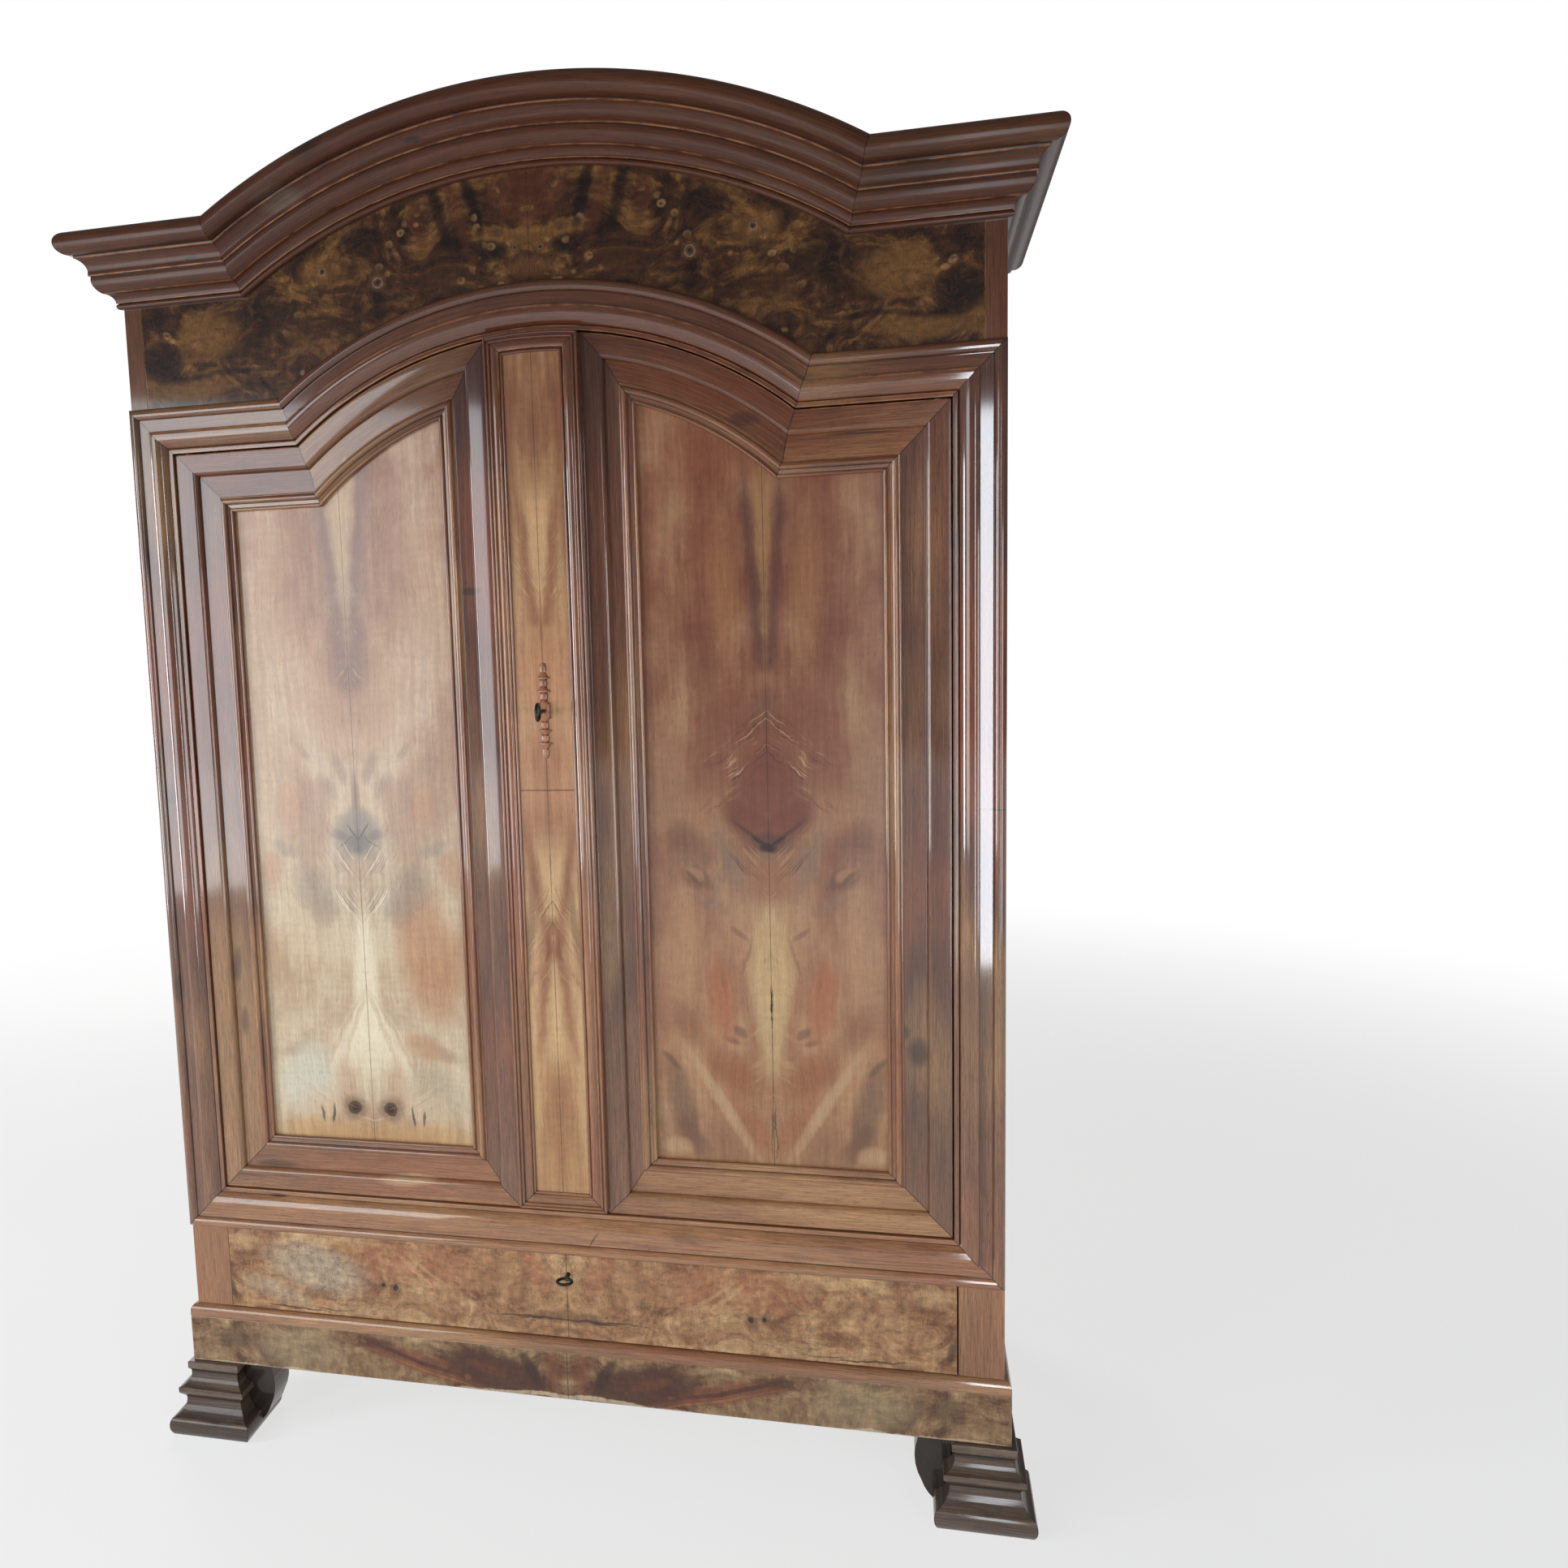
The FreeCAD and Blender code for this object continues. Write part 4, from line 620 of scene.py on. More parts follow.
@dataclass(frozen=True)
class Figured:
    """Book-matched veneer whose figure lies in mirror image on both sides of an upright seam."""

    name: str
    seam: float
    tones: tuple[Colour, ...]
    marks: tuple[Mark, ...] = ()
    wedges: tuple[Wedge, ...] = ()
    plumes: tuple[Plume, ...] = ()
    burl: float = 0.0
    eyes: float = 0.0
    seed: float = 0.0
    drift: float = 0.03
    seam_line: float = 0.6
    level_seam: float = 0.0
    zones: tuple[tuple[float, Colour], ...] = ()
    ripple: float = 0.1
    gloss: float = 0.28
    coat: float = 0.75
    coat_roughness: float = 0.2
    specular: float = 0.12

    def build(self) -> bpy.types.Material:
        """Build the material.

        Returns:
            The material.
        """
        g = Graph(bpy.data.materials.new(self.name))
        x, y, z = g.place()
        beside = x - self.seam
        apart = abs(beside)
        drift = g.noise(apart * 6.0, z * 4.0, self.seed, 2.0) - 0.5
        rise = g.noise(apart * 6.0, z * 4.0, self.seed + 9.0, 2.0) - 0.5
        ragged = g.noise(beside * 40.0, z * 26.0, self.seed, 3.0, 0.6) - 0.5
        u = apart + drift * self.drift + ragged * 0.012
        v = z + rise * self.drift + ragged * 0.01
        cloud = g.noise(u * 9.0, v * 5.0, self.seed, 4.0, 0.6)
        flow = apart + drift * self.drift + (cloud - 0.5) * (0.02 + 0.05 * self.burl)
        fine, short = 130.0 - 60.0 * self.burl, 5.0 + 65.0 * self.burl
        streak = g.noise(flow * fine, v * short, self.seed, 3.0, 0.55)
        curl = g.noise(u * 40.0, v * 110.0, self.seed, 2.0)
        tone = cloud * (1.0 - self.ripple) + streak * self.ripple
        if self.burl:
            swirl = g.noise(u * 11.0, v * 15.0, self.seed + 3.0, 6.0, 0.68, 1.8)
            tone = tone * (1 - 0.7 * self.burl) + swirl * (0.8 * self.burl)
        body = g.ramp(tone, list(zip((0.36, 0.46, 0.55, 0.66), self.tones)))
        # Height bands blended over the figure, lighter low and darker high: partly the veneer's own tone,
        # partly painted light and shade.
        if self.zones:
            low, high = self.zones[0][0], self.zones[-1][0]
            bands = [((level - low) / (high - low), colour) for level, colour in self.zones]
            body = g.mix(0.62, body, g.ramp((v + rise * 0.1 - low) / (high - low), bands))
        place = g.vector(u, v, 0.0)
        for mark in self.marks:
            body = mark.paint(g, body, place, beside)
        for wedge in self.wedges:
            body = wedge.paint(g, body, u, v)
        for plume in self.plumes:
            body = plume.paint(g, body, u, v)
        fibre = g.noise(flow * 800.0, v * 26.0, y * 30.0, 2.0)
        body = g.mix(0.1 + 0.14 * self.burl, body, streak.rise(0.2, 0.8), "OVERLAY")
        body = g.mix(0.05 + 0.19 * self.burl, body, curl.rise(0.2, 0.8), "OVERLAY")
        body = g.mix(0.12, body, fibre.rise(0.2, 0.8), "OVERLAY")
        if self.eyes:
            spots = g.cells(u * 42.0, v * 48.0, self.seed + ragged * 1.2)
            where = g.noise(u * 10.0, v * 12.0, self.seed + 5.0, 2.0).rise(0.5, 0.64)
            body = g.mix(spots.rise(0.34, 0.2) * where * self.eyes * 0.5, body, GOLDEN)
            body = g.mix(spots.rise(0.17, 0.07) * where * self.eyes, body, WALNUT.pore)
            veins = abs(g.noise(u * 9.0, v * 14.0, self.seed + 8.0, 4.0, 0.62, 1.8) - 0.5)
            body = g.mix(veins.rise(0.016, 0.002) * self.eyes * 0.7, body, WALNUT.dark)
        pores = g.noise(u * 1500.0, v * 90.0, self.seed, 1.0).rise(0.6, 0.74)
        body = g.mix(pores * 0.35, body, WALNUT.pore)
        body = g.mix(beside.bell(0.0, 0.0007) * self.seam_line, body, WALNUT.pore)
        if self.level_seam:
            body = g.mix((z - self.level_seam).bell(0.0, 0.0008) * 0.9, body, WALNUT.pore)
        body = g.mix(g.attribute("wear").most(0.0) * 0.45, body, self.tones[-1])
        facing = g.split(g.node("ShaderNodeTexCoord").outputs["Normal"])[1]
        plain = g.noise(x * 60.0, y * 60.0, z * 1.6, 3.0, 0.6)
        plain = g.ramp(plain * 0.7 + fibre * 0.3, [(0.35, BACKING[0]), (0.65, BACKING[1])])
        body = g.mix(facing.rise(-0.7, -0.4), body, plain)
        rough = self.gloss + fibre * 0.05 + abs(ragged) * 0.25
        relief = fibre * 0.2 - pores * 0.4 + curl * 0.12 + cloud * 2.0
        return g.finish(body, rough, relief, RELIEF, self.coat, coat_roughness=self.coat_roughness,
                        specular=self.specular)


def left_panel() -> Figured:
    """Lay out the veneer of the left door's panel.

    Returns:
        The finish.
    """
    # The cream and pale colours and the pale lower bands are partly the veneer's own figure and partly a
    # painted sheen over the panel.
    tones = brown, tan, cream, pale = (
        (0.23, 0.095, 0.055), (0.4, 0.235, 0.135), (0.58, 0.44, 0.29), (0.72, 0.62, 0.45))
    grey, violet, orange = (0.2, 0.16, 0.13), (0.15, 0.08, 0.065), (0.4, 0.17, 0.075)
    ink = (0.045, 0.035, 0.032)
    zones = (
        (0.53, (0.44, 0.25, 0.11)), (0.59, (0.5, 0.39, 0.26)), (0.7, (0.52, 0.42, 0.29)),
        (0.85, (0.44, 0.31, 0.19)), (0.98, (0.36, 0.25, 0.165)), (1.1, (0.38, 0.24, 0.15)),
        (1.3, (0.34, 0.19, 0.115)), (1.5, (0.27, 0.12, 0.068)), (1.76, (0.22, 0.085, 0.045)))
    marks = (
        Mark(0.13, 1.45, 0.06, 0.2, tan, 0.35), Mark(0.05, 1.25, 0.05, 0.1, tan, 0.5, 0.2),
        Mark(0.15, 1.15, 0.05, 0.18, cream, 0.35, side=Side.LEFT),
        Mark(0.03, 1.165, 0.014, 0.035, violet, 0.45, 0.25),
        Mark(0.055, 1.135, 0.018, 0.03, violet, 0.3, 0.5), Mark(0.09, 1.19, 0.01, 0.02, violet, 0.3, 0.6),
        Mark(0.12, 1.1, 0.03, 0.05, orange, 0.4),
        Mark(0.11, 0.92, 0.04, 0.13, cream, 0.55, 0.1, side=Side.LEFT),
        Mark(0.11, 0.86, 0.07, 0.15, orange, 0.65, -0.1, side=Side.RIGHT),
        Mark(0.08, 0.96, 0.05, 0.06, grey, 0.45, 0.4), Mark(0.16, 0.99, 0.03, 0.05, orange, 0.4),
        Mark(0.13, 1.03, 0.025, 0.02, grey, 0.4, 1.0), Mark(0.0, 1.115, 0.016, 0.06, violet, 0.65),
        Mark(0.0, 1.055, 0.06, 0.052, grey, 0.85, firm=0.15), Mark(0.0, 1.04, 0.03, 0.024, ink, 0.45),
        Mark(0.036, 1.052, 0.016, 0.012, ink, 0.4, 0.6),
        Mark(0.013, 1.056, 0.002, 0.018, ink, 0.9, 0.75, firm=0.2),
        Mark(0.0, 1.032, 0.0018, 0.014, ink, 0.85, firm=0.2),
        Mark(0.026, 1.04, 0.002, 0.012, ink, 0.7, -1.2, firm=0.2),
        Mark(0.0, 0.79, 0.032, 0.17, pale, 0.85, firm=0.15), Mark(0.032, 0.7, 0.035, 0.12, pale, 0.7, -0.4),
        Mark(0.02, 0.74, 0.006, 0.09, tan, 0.35, -0.3), Mark(0.045, 0.72, 0.006, 0.1, tan, 0.35, -0.5),
        Mark(0.115, 0.64, 0.062, 0.08, (0.54, 0.5, 0.4), 0.9, -0.25, side=Side.LEFT),
        Mark(0.115, 0.625, 0.06, 0.07, (0.4, 0.32, 0.22), 0.7, -0.3, side=Side.RIGHT),
        Mark(0.1, 0.7, 0.05, 0.03, orange, 0.5, -0.8, side=Side.RIGHT),
        Mark(0.135, 0.69, 0.03, 0.018, grey, 0.25, -1.0), Mark(0.1, 0.59, 0.05, 0.04, cream, 0.5),
        Mark(0.09, 0.545, 0.12, 0.03, (0.48, 0.28, 0.12), 0.6), Mark(0.045, 0.64, 0.03, 0.05, tan, 0.55),
        Mark(0.073, 0.58, 0.0035, 0.02, ink, 0.85, -0.15, firm=0.1),
        Mark(0.092, 0.577, 0.003, 0.017, ink, 0.75, 0.15, firm=0.1), *knot(0.034, 0.592, 0.0125))
    return Figured("left_panel_veneer", -0.328, tones, marks,
                   (Wedge(1.275, 1.7, 0.034, (0.48, 0.32, 0.175), violet, 0.65, 0.016),),
                   (Plume(0.885, 1.02, 0.085, 1.15, 5.0, pale, grey, 0.7, 0.003),
                    Plume(1.13, 1.5, 0.03, -1.2, 0.0, pale, tan, 0.15),
                    Plume(0.55, 0.61, 0.17, 0.3, 2.5, pale, orange, 0.35)),
                   seed=2.0, zones=zones)


def right_panel() -> Figured:
    """Lay out the veneer of the right door's panel.

    Returns:
        The finish.
    """
    tones = red, brown, tan, gold = (
        (0.15, 0.046, 0.026), (0.23, 0.095, 0.05), (0.36, 0.19, 0.1), (0.5, 0.32, 0.17))
    violet, grey, yellow = (0.07, 0.028, 0.024), (0.18, 0.12, 0.085), (0.48, 0.32, 0.16)
    maroon, ink = (0.14, 0.042, 0.026), (0.016, 0.014, 0.015)
    zones = (
        (0.53, (0.36, 0.2, 0.095)), (0.59, (0.3, 0.16, 0.085)), (0.68, (0.33, 0.165, 0.08)),
        (0.86, (0.34, 0.18, 0.1)), (1.0, (0.25, 0.13, 0.08)), (1.15, (0.19, 0.075, 0.045)),
        (1.42, (0.165, 0.058, 0.032)), (1.74, (0.165, 0.05, 0.024)))
    marks = (
        Mark(0.06, 1.42, 0.03, 0.13, (0.3, 0.14, 0.06), 0.5, 0.05), Mark(0.1, 1.33, 0.03, 0.16, maroon, 0.45),
        Mark(0.0, 1.24, 0.03, 0.05, violet, 0.4), Mark(0.15, 1.13, 0.04, 0.1, (0.32, 0.18, 0.1), 0.5),
        Mark(0.0, 1.19, 0.075, 0.06, maroon, 0.6), Mark(0.0, 1.125, 0.07, 0.075, maroon, 0.75, firm=0.1),
        Mark(0.03, 1.075, 0.04, 0.045, maroon, 0.75, 0.9, firm=0.1), Mark(0.1, 1.085, 0.045, 0.05, tan, 0.45),
        Mark(0.12, 1.04, 0.04, 0.05, violet, 0.35, 0.4), Mark(0.03, 1.06, 0.006, 0.026, violet, 0.75, 1.15),
        Mark(0.06, 1.02, 0.022, 0.08, grey, 0.5, 0.35), Mark(0.075, 0.985, 0.012, 0.06, grey, 0.35, -0.5),
        Mark(0.0, 1.042, 0.044, 0.022, violet, 0.75), Mark(0.015, 1.045, 0.006, 0.012, ink, 0.75, 1.2),
        Mark(0.0, 1.034, 0.017, 0.009, ink, 0.9, firm=0.1), Mark(0.0, 1.02, 0.03, 0.005, grey, 0.6, firm=0.1),
        Mark(0.088, 0.99, 0.028, 0.1, (0.18, 0.055, 0.03), 0.5, 0.1, side=Side.RIGHT),
        Mark(0.0, 0.985, 0.045, 0.045, (0.26, 0.11, 0.06), 0.7),
        Mark(0.112, 0.984, 0.03, 0.026, violet, 0.55, 0.3),
        Mark(0.116, 0.991, 0.02, 0.016, tan, 0.65, 0.3, firm=0.1),
        Mark(0.12, 0.986, 0.008, 0.014, violet, 0.6, 0.8), Mark(0.092, 0.945, 0.03, 0.02, grey, 0.4, 1.2),
        Mark(0.0, 0.84, 0.042, 0.125, yellow, 0.85, firm=0.2),
        Mark(0.0, 0.755, 0.03, 0.1, yellow, 0.75, firm=0.1),
        Mark(0.044, 0.902, 0.012, 0.012, violet, 0.4, 1.2), Mark(0.05, 0.748, 0.012, 0.014, violet, 0.5, 0.6),
        Mark(0.034, 0.87, 0.004, 0.04, violet, 0.35, -0.3), Mark(0.062, 0.735, 0.01, 0.01, maroon, 0.5, 1.0),
        Mark(0.078, 0.8, 0.028, 0.085, (0.32, 0.1, 0.045), 0.7, 0.1),
        Mark(0.14, 0.86, 0.035, 0.14, (0.4, 0.23, 0.12), 0.5),
        Mark(0.13, 0.76, 0.03, 0.05, maroon, 0.35, 0.5),
        Mark(0.06, 0.685, 0.04, 0.06, (0.23, 0.08, 0.035), 0.7, 0.6),
        Mark(0.03, 0.6, 0.03, 0.065, (0.27, 0.105, 0.045), 0.75, 0.5),
        Mark(0.078, 0.64, 0.014, 0.11, (0.46, 0.3, 0.17), 0.6, 0.62),
        Mark(0.14, 0.64, 0.03, 0.085, (0.085, 0.05, 0.035), 0.55, 0.2),
        Mark(0.125, 0.575, 0.03, 0.04, violet, 0.4, 0.6), Mark(0.155, 0.7, 0.01, 0.02, ink, 0.4, 0.8),
        Mark(0.15, 0.56, 0.03, 0.02, gold, 0.5), Mark(0.0, 0.77, 0.0016, 0.055, ink, 0.95, firm=0.5),
        Mark(0.0, 0.59, 0.0012, 0.05, ink, 0.6, firm=0.5))
    return Figured("right_panel_veneer", 0.335, tones, marks,
                   (Wedge(1.3, 1.56, 0.021, (0.3, 0.16, 0.065), violet, 0.75, 0.01),),
                   (Plume(1.15, 1.26, 0.12, -0.85, 0.6, gold, violet, 0.65, 0.004),
                    Plume(0.945, 1.025, 0.085, 1.05, 3.0, tan, violet, 0.7, 0.0036),
                    Plume(0.62, 0.93, 0.05, -0.7, 0.0, gold, tan, 0.3, 0.01)), seed=5.0, zones=zones)


def pilaster_panel() -> Figured:
    """Lay out the veneer of the pilaster's panel, which has a level seam.

    Returns:
        The finish.
    """
    tones = red, brown, tan, gold = (
        (0.21, 0.07, 0.033), (0.32, 0.145, 0.065), (0.47, 0.26, 0.12), (0.56, 0.37, 0.185))
    dark = (0.085, 0.032, 0.018)
    zones = (
        (0.5, (0.42, 0.24, 0.11)), (0.75, (0.43, 0.25, 0.125)), (0.95, (0.47, 0.3, 0.165)),
        (1.12, (0.42, 0.22, 0.125)), (1.26, (0.44, 0.24, 0.13)), (1.42, (0.3, 0.15, 0.07)),
        (1.56, (0.19, 0.085, 0.038)), (1.78, (0.12, 0.045, 0.022)))
    marks = (
        Mark(0.046, 1.6, 0.012, 0.25, red, 0.5), Mark(0.0, 1.5, 0.018, 0.14, tan, 0.35),
        Mark(0.0, 1.3, 0.05, 0.07, (0.42, 0.19, 0.09), 0.5), Mark(0.0, 1.19, 0.05, 0.06, red, 0.35),
        Mark(0.0, 1.06, 0.06, 0.06, red, 0.4), Mark(0.035, 0.93, 0.012, 0.1, dark, 0.45, -0.1),
        Mark(0.0, 1.01, 0.001, 0.02, dark, 0.9, firm=0.4), Mark(0.0, 0.6, 0.026, 0.13, red, 0.45),
        Mark(0.04, 0.66, 0.015, 0.15, gold, 0.5))
    return Figured("pilaster_veneer", 0.0, tones, marks,
                   (Wedge(1.375, 1.56, 0.028, (0.5, 0.3, 0.15), red, 0.6, 0.01),
                    Wedge(0.86, 1.04, 0.03, gold, red, 0.5, 0.01),
                    Wedge(0.93, 0.72, 0.022, gold, red, 0.5, 0.008)),
                   (Plume(1.36, 1.5, 0.05, 1.6, 0.0, gold, red, 0.5),
                    Plume(0.84, 1.0, 0.05, -1.6, 0.0, gold, dark, 0.5)),
                   seed=11.0, drift=0.012, level_seam=1.127, zones=zones, ripple=0.25)


def frieze_burl() -> Figured:
    """Lay out the dark burl of the frieze, its darkness partly painted shade.

    Returns:
        The finish.
    """
    # The tones are near black: the burl's own dark colour with painted shade over it.
    tones = dark, brown, tan, gold = (
        (0.006, 0.003, 0.003), (0.018, 0.007, 0.004), (0.044, 0.017, 0.007), (0.135, 0.062, 0.019))
    red = (0.075, 0.022, 0.01)
    marks = (
        Mark(0.0, 2.02, 0.075, 0.085, red, 0.75), Mark(0.085, 2.0, 0.012, 0.09, dark, 0.85, 0.25),
        Mark(0.11, 2.0, 0.012, 0.085, red, 0.6, 0.28), Mark(0.135, 1.99, 0.014, 0.08, dark, 0.8, 0.3),
        Mark(0.17, 1.98, 0.016, 0.06, red, 0.5, 0.3), Mark(0.2, 1.97, 0.012, 0.06, dark, 0.6, 0.3),
        Mark(0.0, 1.945, 0.1, 0.014, gold, 0.5), Mark(0.055, 1.925, 0.03, 0.02, dark, 0.8),
        Mark(0.0, 1.905, 0.045, 0.022, (0.11, 0.045, 0.018), 0.7), Mark(0.13, 1.9, 0.05, 0.03, tan, 0.6),
        Mark(0.62, 1.815, 0.05, 0.04, dark, 0.9, firm=0.1), Mark(0.53, 1.85, 0.07, 0.045, gold, 0.85),
        Mark(0.42, 1.87, 0.06, 0.045, dark, 0.8), Mark(0.57, 1.772, 0.09, 0.02, gold, 0.8),
        Mark(0.5, 1.792, 0.15, 0.006, dark, 0.6, 2.0), Mark(0.33, 1.93, 0.05, 0.035, gold, 0.5),
        Mark(0.27, 1.97, 0.05, 0.03, dark, 0.5), Mark(0.22, 1.878, 0.045, 0.008, dark, 0.75, -3.0),
        Mark(0.36, 1.84, 0.05, 0.03, tan, 0.6), *knot(0.238, 1.901, 0.007), *knot(0.33, 1.93, 0.005),
        *knot(0.02, 1.93, 0.003))
    return Figured("frieze_burl", 0.0, tones, marks, burl=1.0, eyes=0.8, seed=21.0,
                   seam_line=0.7, gloss=0.24, coat_roughness=0.06)


def drawer_burl() -> Figured:
    """Lay out the golden burl of the drawer front.

    Returns:
        The finish.
    """
    tones = dark, brown, tan, gold = (
        (0.08, 0.035, 0.018), (0.215, 0.095, 0.043), (0.35, 0.19, 0.09), (0.5, 0.32, 0.16))
    ink, red = (0.03, 0.015, 0.01), (0.3, 0.105, 0.048)
    marks = (
        Mark(0.25, 0.33, 0.2, 0.05, red, 0.5),
        Mark(0.44, 0.31, 0.11, 0.055, (0.38, 0.33, 0.245), 0.6, 0.6, side=Side.LEFT),
        Mark(0.52, 0.265, 0.06, 0.03, (0.36, 0.29, 0.2), 0.5, 1.5, side=Side.LEFT),
        Mark(0.12, 0.32, 0.09, 0.05, tan, 0.5, 1.0), Mark(0.05, 0.335, 0.03, 0.05, red, 0.55, 0.5),
        Mark(0.055, 0.259, 0.1, 0.0022, ink, 0.8, 6.0, firm=0.1),
        Mark(0.045, 0.257, 0.04, 0.003, ink, 0.8, -9.0, firm=0.1), Mark(0.03, 0.262, 0.04, 0.012, dark, 0.5),
        Mark(0.48, 0.236, 0.07, 0.0024, ink, 0.75, 9.0, firm=0.1),
        Mark(0.4, 0.24, 0.05, 0.0022, ink, 0.7, -8.0, firm=0.1),
        Mark(0.6, 0.264, 0.01, 0.028, ink, 0.75, 0.2), Mark(0.36, 0.245, 0.08, 0.018, gold, 0.5, 1.0),
        Mark(0.22, 0.25, 0.05, 0.02, brown, 0.5, 1.5), Mark(0.26, 0.315, 0.01, 0.03, gold, 0.5, 1.2),
        Mark(0.235, 0.315, 0.008, 0.03, gold, 0.45, 1.5), Mark(0.57, 0.345, 0.04, 0.02, gold, 0.5),
        *knot(0.32, 0.287, 0.0045), *knot(0.296, 0.282, 0.0065))
    return Figured("drawer_burl", -0.003, tones, marks, burl=0.75, eyes=0.5, seed=33.0,
                   seam_line=0.8, coat_roughness=0.12)


def plinth_burl() -> Figured:
    """Lay out the figured veneer of the plinth.

    Returns:
        The finish.
    """
    tones = dark, brown, tan, gold = (
        (0.035, 0.015, 0.009), (0.11, 0.05, 0.024), (0.24, 0.14, 0.07), (0.38, 0.26, 0.13))
    deep, red = (0.06, 0.02, 0.011), (0.15, 0.045, 0.02)
    marks = (
        Mark(0.25, 0.165, 0.085, 0.046, red, 0.85, 3.0, firm=0.1),
        Mark(0.27, 0.172, 0.02, 0.036, deep, 0.8, 3.4, firm=0.1),
        Mark(0.12, 0.158, 0.1, 0.05, deep, 0.92, 1.2, firm=0.3),
        Mark(0.14, 0.165, 0.03, 0.018, red, 0.6, 2.0), Mark(0.345, 0.192, 0.06, 0.012, deep, 0.7),
        Mark(0.235, 0.15, 0.01, 0.04, (0.28, 0.12, 0.05), 0.6, 3.4),
        Mark(0.06, 0.165, 0.014, 0.04, dark, 0.85, 0.5, firm=0.1), Mark(0.02, 0.17, 0.022, 0.05, red, 0.7),
        Mark(0.48, 0.165, 0.1, 0.05, (0.34, 0.25, 0.14), 0.55),
        Mark(0.42, 0.14, 0.06, 0.012, (0.16, 0.1, 0.06), 0.4, 2.0), Mark(0.6, 0.17, 0.04, 0.025, dark, 0.55),
        # A pale strip along the bottom edge: partly edge wear, partly a painted highlight.
        Mark(0.0, 0.124, 3.0, 0.0045, (0.55, 0.42, 0.28), 0.7, firm=0.3))
    return Figured("plinth_burl", -0.006, tones, marks, burl=0.6, eyes=0.4, seed=44.0,
                   seam_line=0.8)


@dataclass(frozen=True)
class Iron:
    """Dark wrought iron."""

    name: str
    colour: Colour
    worn: Colour

    def build(self) -> bpy.types.Material:
        """Build the material.

        Returns:
            The material.
        """
        g = Graph(bpy.data.materials.new(self.name))
        x, y, z = g.place()
        patch = g.noise(x * 60.0, y * 60.0, z * 60.0, 4.0, 0.6)
        grit = g.noise(x * 600.0, y * 600.0, z * 600.0, 2.0)
        body = g.mix(patch.rise(0.45, 0.75), self.colour, self.worn)
        body = g.mix(g.attribute("wear").most(0.0) * 0.5, body, self.worn)
        return g.finish(body, 0.35 + patch * 0.3, grit + patch, RELIEF, metallic=0.85)


class Finishes:
    """All the finishes of the wardrobe, each built once."""

    def __init__(self) -> None:
        """Build every material."""
        self.frame = GrainedWood("walnut_frame", WALNUT, scars=RAIL_SCARS, coat_ior=1.6).build()
        self.moulding = GrainedWood("walnut_moulding", WALNUT, 0.009, scars=MOULDING_SCARS,
                                    coat_ior=1.7).build()
        self.cornice = GrainedWood("cornice_walnut", WALNUT, 0.009, 0.34, 0.4, 0.1, scars=CORNICE_SCARS,
                                   coat_roughness=0.2).build()
        self.side = GrainedWood("side_walnut", WALNUT, 0.016, 0.36, 0.4).build()
        self.stile = GrainedWood("walnut_stile", STILE, 0.012, scars=STILE_SCARS, coat_ior=1.7).build()
        self.pine = GrainedWood("aged_pine", PINE, 0.014, 0.6, 0.0, 0.4, tinted=False).build()
        self.beech = GrainedWood("turned_beech", BEECH, 0.01, 0.45, 0.0, 0.4, tinted=False).build()
        self.carving = GrainedWood("carved_walnut", CARVED, 0.006, 0.3, 0.6, 0.2, 0.9).build()
        self.foot = GrainedWood("foot_walnut", FOOT, 0.008, 0.34, 0.5, 0.2, 0.9, 0.7, False).build()
        self.veneers = {"door_left_panel": left_panel(), "door_right_panel": right_panel(),
                        "pilaster_panel": pilaster_panel(), "frieze_board": frieze_burl(),
                        "drawer_front": drawer_burl(), "plinth_front": plinth_burl()}
        self.veneer = {node: veneer.build() for node, veneer in self.veneers.items()}
        self.iron = Iron("dark_iron", (0.075, 0.068, 0.062), (0.2, 0.17, 0.14)).build()
        self.key = Iron("key_iron", (0.03, 0.028, 0.027), (0.12, 0.11, 0.1)).build()


# Meshes

